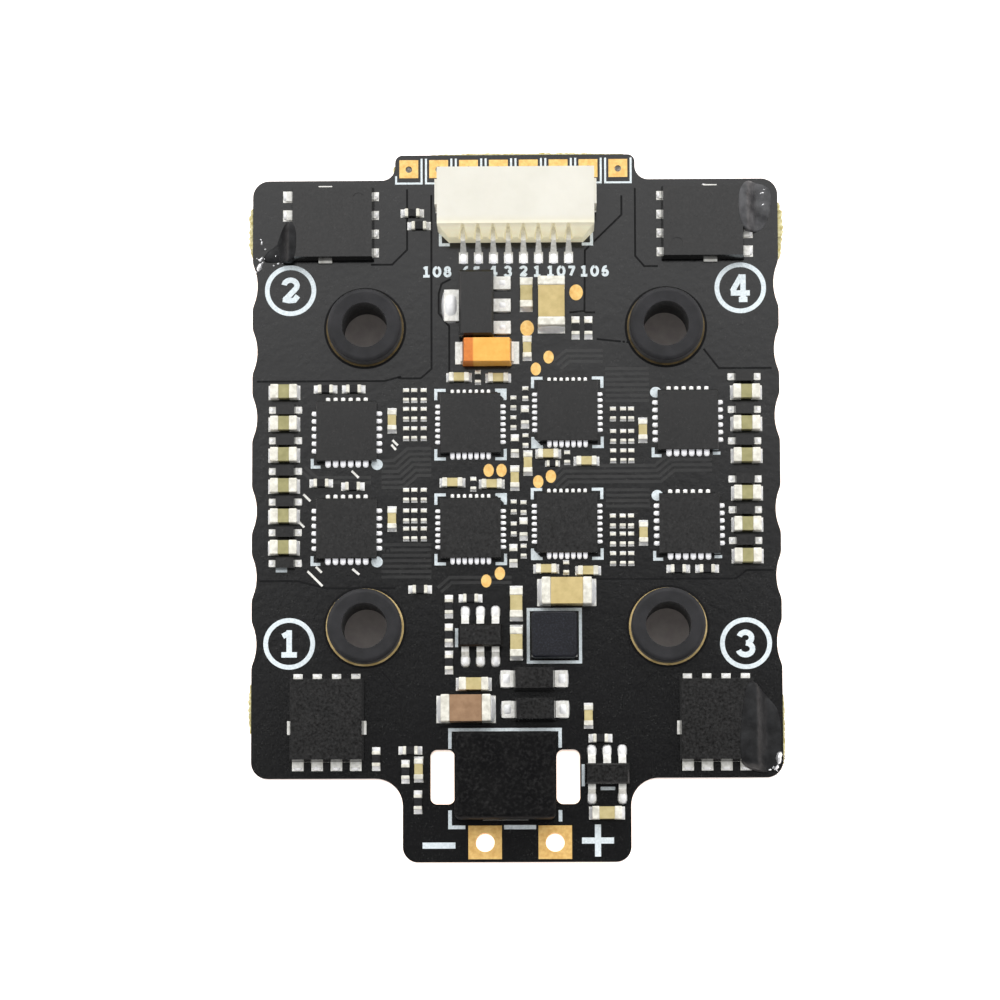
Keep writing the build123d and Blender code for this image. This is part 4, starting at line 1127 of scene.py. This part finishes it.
# Start, end, outward direction and how far the stubs stand out.
EDGE_RUNS = (
    ((-SIDE_X, 15.0), (-SIDE_X, 18.1), (-1, 0), 0.3),
    ((SIDE_X, 14.8), (SIDE_X, 18.3), (1, 0), 0.36),
    ((-SIDE_X, -13.8), (-SIDE_X, -17.0), (-1, 0), 0.2),
    ((SIDE_X, -14.6), (SIDE_X, -19.0), (1, 0), 0.16),
    ((-5.6, END_Y), (7.2, END_Y), (0, 1), 0.14),
    ((-8.0, 20.4), (-8.0, 21.0), (-1, 0), 0.16),
)
STUB_PITCH = 0.4
STUB_STEPS = 8
STUB_ROOT = 0.05


def stub(soup, x, y, out, proud):
    """One ragged half-round stub that stands out from the board's edge."""
    (out_x, out_y), (side_x, side_y) = out, (-out[1], out[0])
    reach = proud * chance.uniform(0.8, 1.05)
    half = chance.uniform(0.24, 0.3)
    low = BOTTOM_Z + chance.uniform(0.05, 0.3)
    high = TOP_Z - chance.uniform(0.02, 0.2)
    outline = []
    for k in range(STUB_STEPS + 1):
        a = -math.pi / 2 + math.pi * k / STUB_STEPS
        ragged = chance.uniform(0.85, 1.1)
        u, v = math.cos(a) ** 0.6 * reach * ragged, math.sin(a) * half
        outline.append((x + out_x * u + side_x * v, y + out_y * u + side_y * v))
    for v in (half, -half):
        outline.append((x - out_x * STUB_ROOT + side_x * v, y - out_y * STUB_ROOT + side_y * v))
    soup.prism(outline, low, high)


def broken_edges():
    """Rough stubs left where the board was snapped from its panel."""
    soup = Soup()
    for (x0, y0), (x1, y1), out, proud in EDGE_RUNS:
        count = int(math.hypot(x1 - x0, y1 - y0) / STUB_PITCH)
        for i in range(count):
            t = (i + 0.5) / count
            taper = min(1.0, 4 * t, 4 * (1 - t))
            stub(soup, x0 + (x1 - x0) * t, y0 + (y1 - y0) * t, out, proud * (0.4 + 0.6 * taper))
    soup.make("broken_edges", FIBRE)


def puddle(soup, x, y, size_x, size_y, height, turn=0.0):
    """An uneven low puddle made of a dome with a wavy rim."""
    start = len(soup.points)
    soup.dome(x, y, size_x, size_y, TOP_Z, height, square=2.2, rings=6, turn=turn)
    waves = [(chance.uniform(0.04, 0.12), n, chance.uniform(0, 6.3)) for n in (2, 3, 5)]
    for i in range(start, len(soup.points)):
        px, py, pz = soup.points[i]
        a = math.atan2(py - y, px - x)
        swell = 1 + sum(size * math.sin(n * a + phase) for size, n, phase in waves)
        soup.points[i] = (x + (px - x) * swell, y + (py - y) * swell, pz)


def rounded(outline, rounds=3):
    """Cuts the corners of a closed outline until it is smooth."""
    for _ in range(rounds):
        cut = []
        for (ax, ay), (bx, by) in zip(outline, outline[1:] + outline[:1]):
            cut.append((ax * 0.75 + bx * 0.25, ay * 0.75 + by * 0.25))
            cut.append((ax * 0.25 + bx * 0.75, ay * 0.25 + by * 0.75))
        outline = cut
    return outline


FILM_RINGS = 14
FILM_DRAPE = 0.95


def film(soup, outline, body, thickness):
    """A film draped over a package and the board beside it, thin at its rim."""
    low, high = body
    rise = high.z - TOP_Z
    rim = rounded(outline)
    count = len(rim)
    centre = (sum(x for x, _ in rim) / count, sum(y for _, y in rim) / count)
    points = []
    for ring in range(FILM_RINGS, 0, -1):
        share = ring / FILM_RINGS
        for x, y in rim:
            px = centre[0] + (x - centre[0]) * share
            py = centre[1] + (y - centre[1]) * share
            over = max(low.x - px, px - high.x, low.y - py, py - high.y)
            slope = min(max(1.0 - over / FILM_DRAPE, 0.0), 1.0)
            drape = rise * slope * slope * (3 - 2 * slope)
            wave = 0.7 + 0.3 * math.sin(2.1 * px + 1.3 * py) * math.sin(1.7 * py - 0.9 * px)
            points.append((px, py, TOP_Z + drape + 0.01 + thickness * (1 - share ** 4) * wave))
    top = len(points)
    points += [(x, y, TOP_Z - SUNK) for x, y in rim]
    faces = []
    for ring in range(FILM_RINGS - 1):
        for k in range(count):
            j = (k + 1) % count
            outer, inner = ring * count, (ring + 1) * count
            faces.append([outer + k, outer + j, inner + j, inner + k])
    faces.append([(FILM_RINGS - 1) * count + k for k in range(count)])
    faces += [[top + k, top + (k + 1) % count, (k + 1) % count, k] for k in range(count)]
    faces.append([top + k for k in range(count - 1, -1, -1)])
    soup.add(points, faces)


# Centre, length and turn.
SPLASHES = (
    (-17.05, 14.15, 0.7, 1.2), (-16.95, 14.7, 0.4, 0.9), (-16.9, 15.8, 0.3, 1.4),
    (-15.97, 14.9, 0.3, 1.5), (-15.8, 14.4, 0.26, 0.3), (-15.35, 15.3, 0.45, 2.2),
    (-15.15, 14.93, 0.36, 0.5), (-14.85, 15.2, 0.26, 1.0), (12.6, 19.6, 0.3, 0.0),
    (17.2, -18.7, 0.9, 1.5), (17.05, -19.35, 0.5, 0.9), (16.6, -19.5, 0.3, 0.2),
    (15.55, 17.0, 0.3, 0.6), (15.8, 16.65, 0.26, 2.4), (16.5, 19.0, 0.3, 0.2), (16.5, 18.2, 0.26, 0.4),
)
SPLASH_WIDTH = 0.5
SPLASH_HEIGHT = 0.35
DROPLET_SPREAD = 0.22
DROPLET_SIZE = (0.07, 0.15)
DROPLET_HEIGHT = 0.6
DROPLET_LEAST_X = -17.25
LOWER_RIGHT_FILM = [
    (14.5, -18.7), (15.1, -19.5), (16.7, -19.75), (17.35, -19.3),
    (17.42, -15.7), (16.4, -14.6), (15.5, -13.6), (14.9, -14.2),
]
UPPER_RIGHT_FILM = [
    (14.85, 16.6), (15.9, 16.2), (16.8, 16.8), (17.15, 18.6), (16.9, 19.6), (14.85, 19.75),
]
UPPER_LEFT_FILM = [
    (-16.0, 14.5), (-14.7, 14.3), (-14.5, 15.5), (-14.6, 16.9), (-15.3, 17.1), (-15.9, 15.8),
]
FILM_THIN = 0.1
FILM_THICK = 0.16
# Centre, length, width and turn.
UPPER_LEFT_PUDDLES = ((-16.0, 15.0, 1.5, 1.0, 0.4), (-15.1, 16.3, 0.7, 1.5, -0.2))
PUDDLE_HEIGHT = 0.1


def flux():
    """Dried flux over three of the corner transistors and the board beside them."""
    corner = {(low.x > 0, low.y > 0): (low, high) for low, high in islands("top_transistor_bodies")}
    haze = Soup()
    film(haze, UPPER_RIGHT_FILM, corner[True, True], FILM_THIN)
    haze.make("flux_haze", HAZE, smooth=True)
    soup = Soup()
    film(soup, LOWER_RIGHT_FILM, corner[True, False], FILM_THICK)
    film(soup, UPPER_LEFT_FILM, corner[False, True], FILM_THIN)
    for x, y, long, wide, turn in UPPER_LEFT_PUDDLES:
        puddle(soup, x, y, long, wide, PUDDLE_HEIGHT, turn=turn)
    soup.make("flux_residue", FLUX, smooth=True)


def solder_splashes():
    """Elongated splashes of solder with three droplets round each."""
    soup = Soup()
    for x, y, long, turn in SPLASHES:
        puddle(soup, x, y, long, long * SPLASH_WIDTH, long * SPLASH_HEIGHT, turn=turn)
        for _ in range(3):
            px, py = chance.gauss(x, DROPLET_SPREAD), chance.gauss(y, DROPLET_SPREAD)
            size = chance.uniform(*DROPLET_SIZE)
            puddle(soup, max(px, DROPLET_LEAST_X), py, size, size, size * DROPLET_HEIGHT)
    soup.make("solder_splash", SPATTER, smooth=True)


broken_edges()
flux()
solder_splashes()


# ---------------- studio
SKY_DARK = 0.05
SKY_BACK = 1.95
SKY_FRONT = 0.6
SKY_SWEEP = (-0.15, 0.28)
SKY_RISE = (0.095, 0.205)
KEY_AT = (-0.04, 0.30, 0.32)
KEY_SIZE = (0.30, 0.16)
KEY_POWER = 0.2


def studio():
    """White paper floor, a sky that is dark overhead and bright behind, and one key light."""
    low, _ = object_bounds()
    bpy.ops.mesh.primitive_plane_add(size=4, location=(0, 0, low.z))
    floor = bpy.context.object
    floor.name = "studio_floor"
    floor.data.materials.append(floor_shader())
    world = bpy.data.worlds.new("studio_sky")
    sky = Graph(world, "Generated")
    bpy.context.scene.world = world
    background = sky.tree.nodes["Background"]
    background.inputs["Color"].default_value = (1.0, 1.0, 1.0, 1.0)
    x, y = sky.axis("X"), sky.axis("Y")
    side = sky.spread(y, SKY_FRONT, SKY_BACK, *SKY_SWEEP, kind="SMOOTHSTEP")
    rise = sky.spread(sky.length(x, y), SKY_DARK, SKY_BACK, *SKY_RISE, kind="SMOOTHSTEP")
    sky.link(side, rise.node.inputs["To Max"])
    sky.link(rise, background.inputs["Strength"])
    light = bpy.data.lights.new("key_light", "AREA")
    light.shape = "RECTANGLE"
    light.size, light.size_y = KEY_SIZE
    light.energy = KEY_POWER
    lamp = bpy.data.objects.new("key_light", light)
    lamp.location = KEY_AT
    lamp.rotation_euler = (-Vector(KEY_AT)).to_track_quat("-Z", "Y").to_euler()
    bpy.context.scene.collection.objects.link(lamp)


CAMERA_AT = Vector((2.0, -36.0, 261.6))
CAMERA_TURN = (6.29, 1.01, -0.14)
CAMERA_SHIFT = (0.0218, 0.0867)
CAMERA_LENS = 142.6


def camera():
    """Looks down on the components from a little below the power end."""
    data = bpy.data.cameras.new("camera")
    data.lens = CAMERA_LENS
    data.clip_start = 0.01
    data.shift_x, data.shift_y = CAMERA_SHIFT
    eye = bpy.data.objects.new("camera", data)
    eye.location = CAMERA_AT * MM
    eye.rotation_euler = [math.radians(angle) for angle in CAMERA_TURN]
    bpy.context.scene.collection.objects.link(eye)
    bpy.context.scene.camera = eye


studio()
camera()
bpy.context.scene.view_settings.view_transform = "Standard"
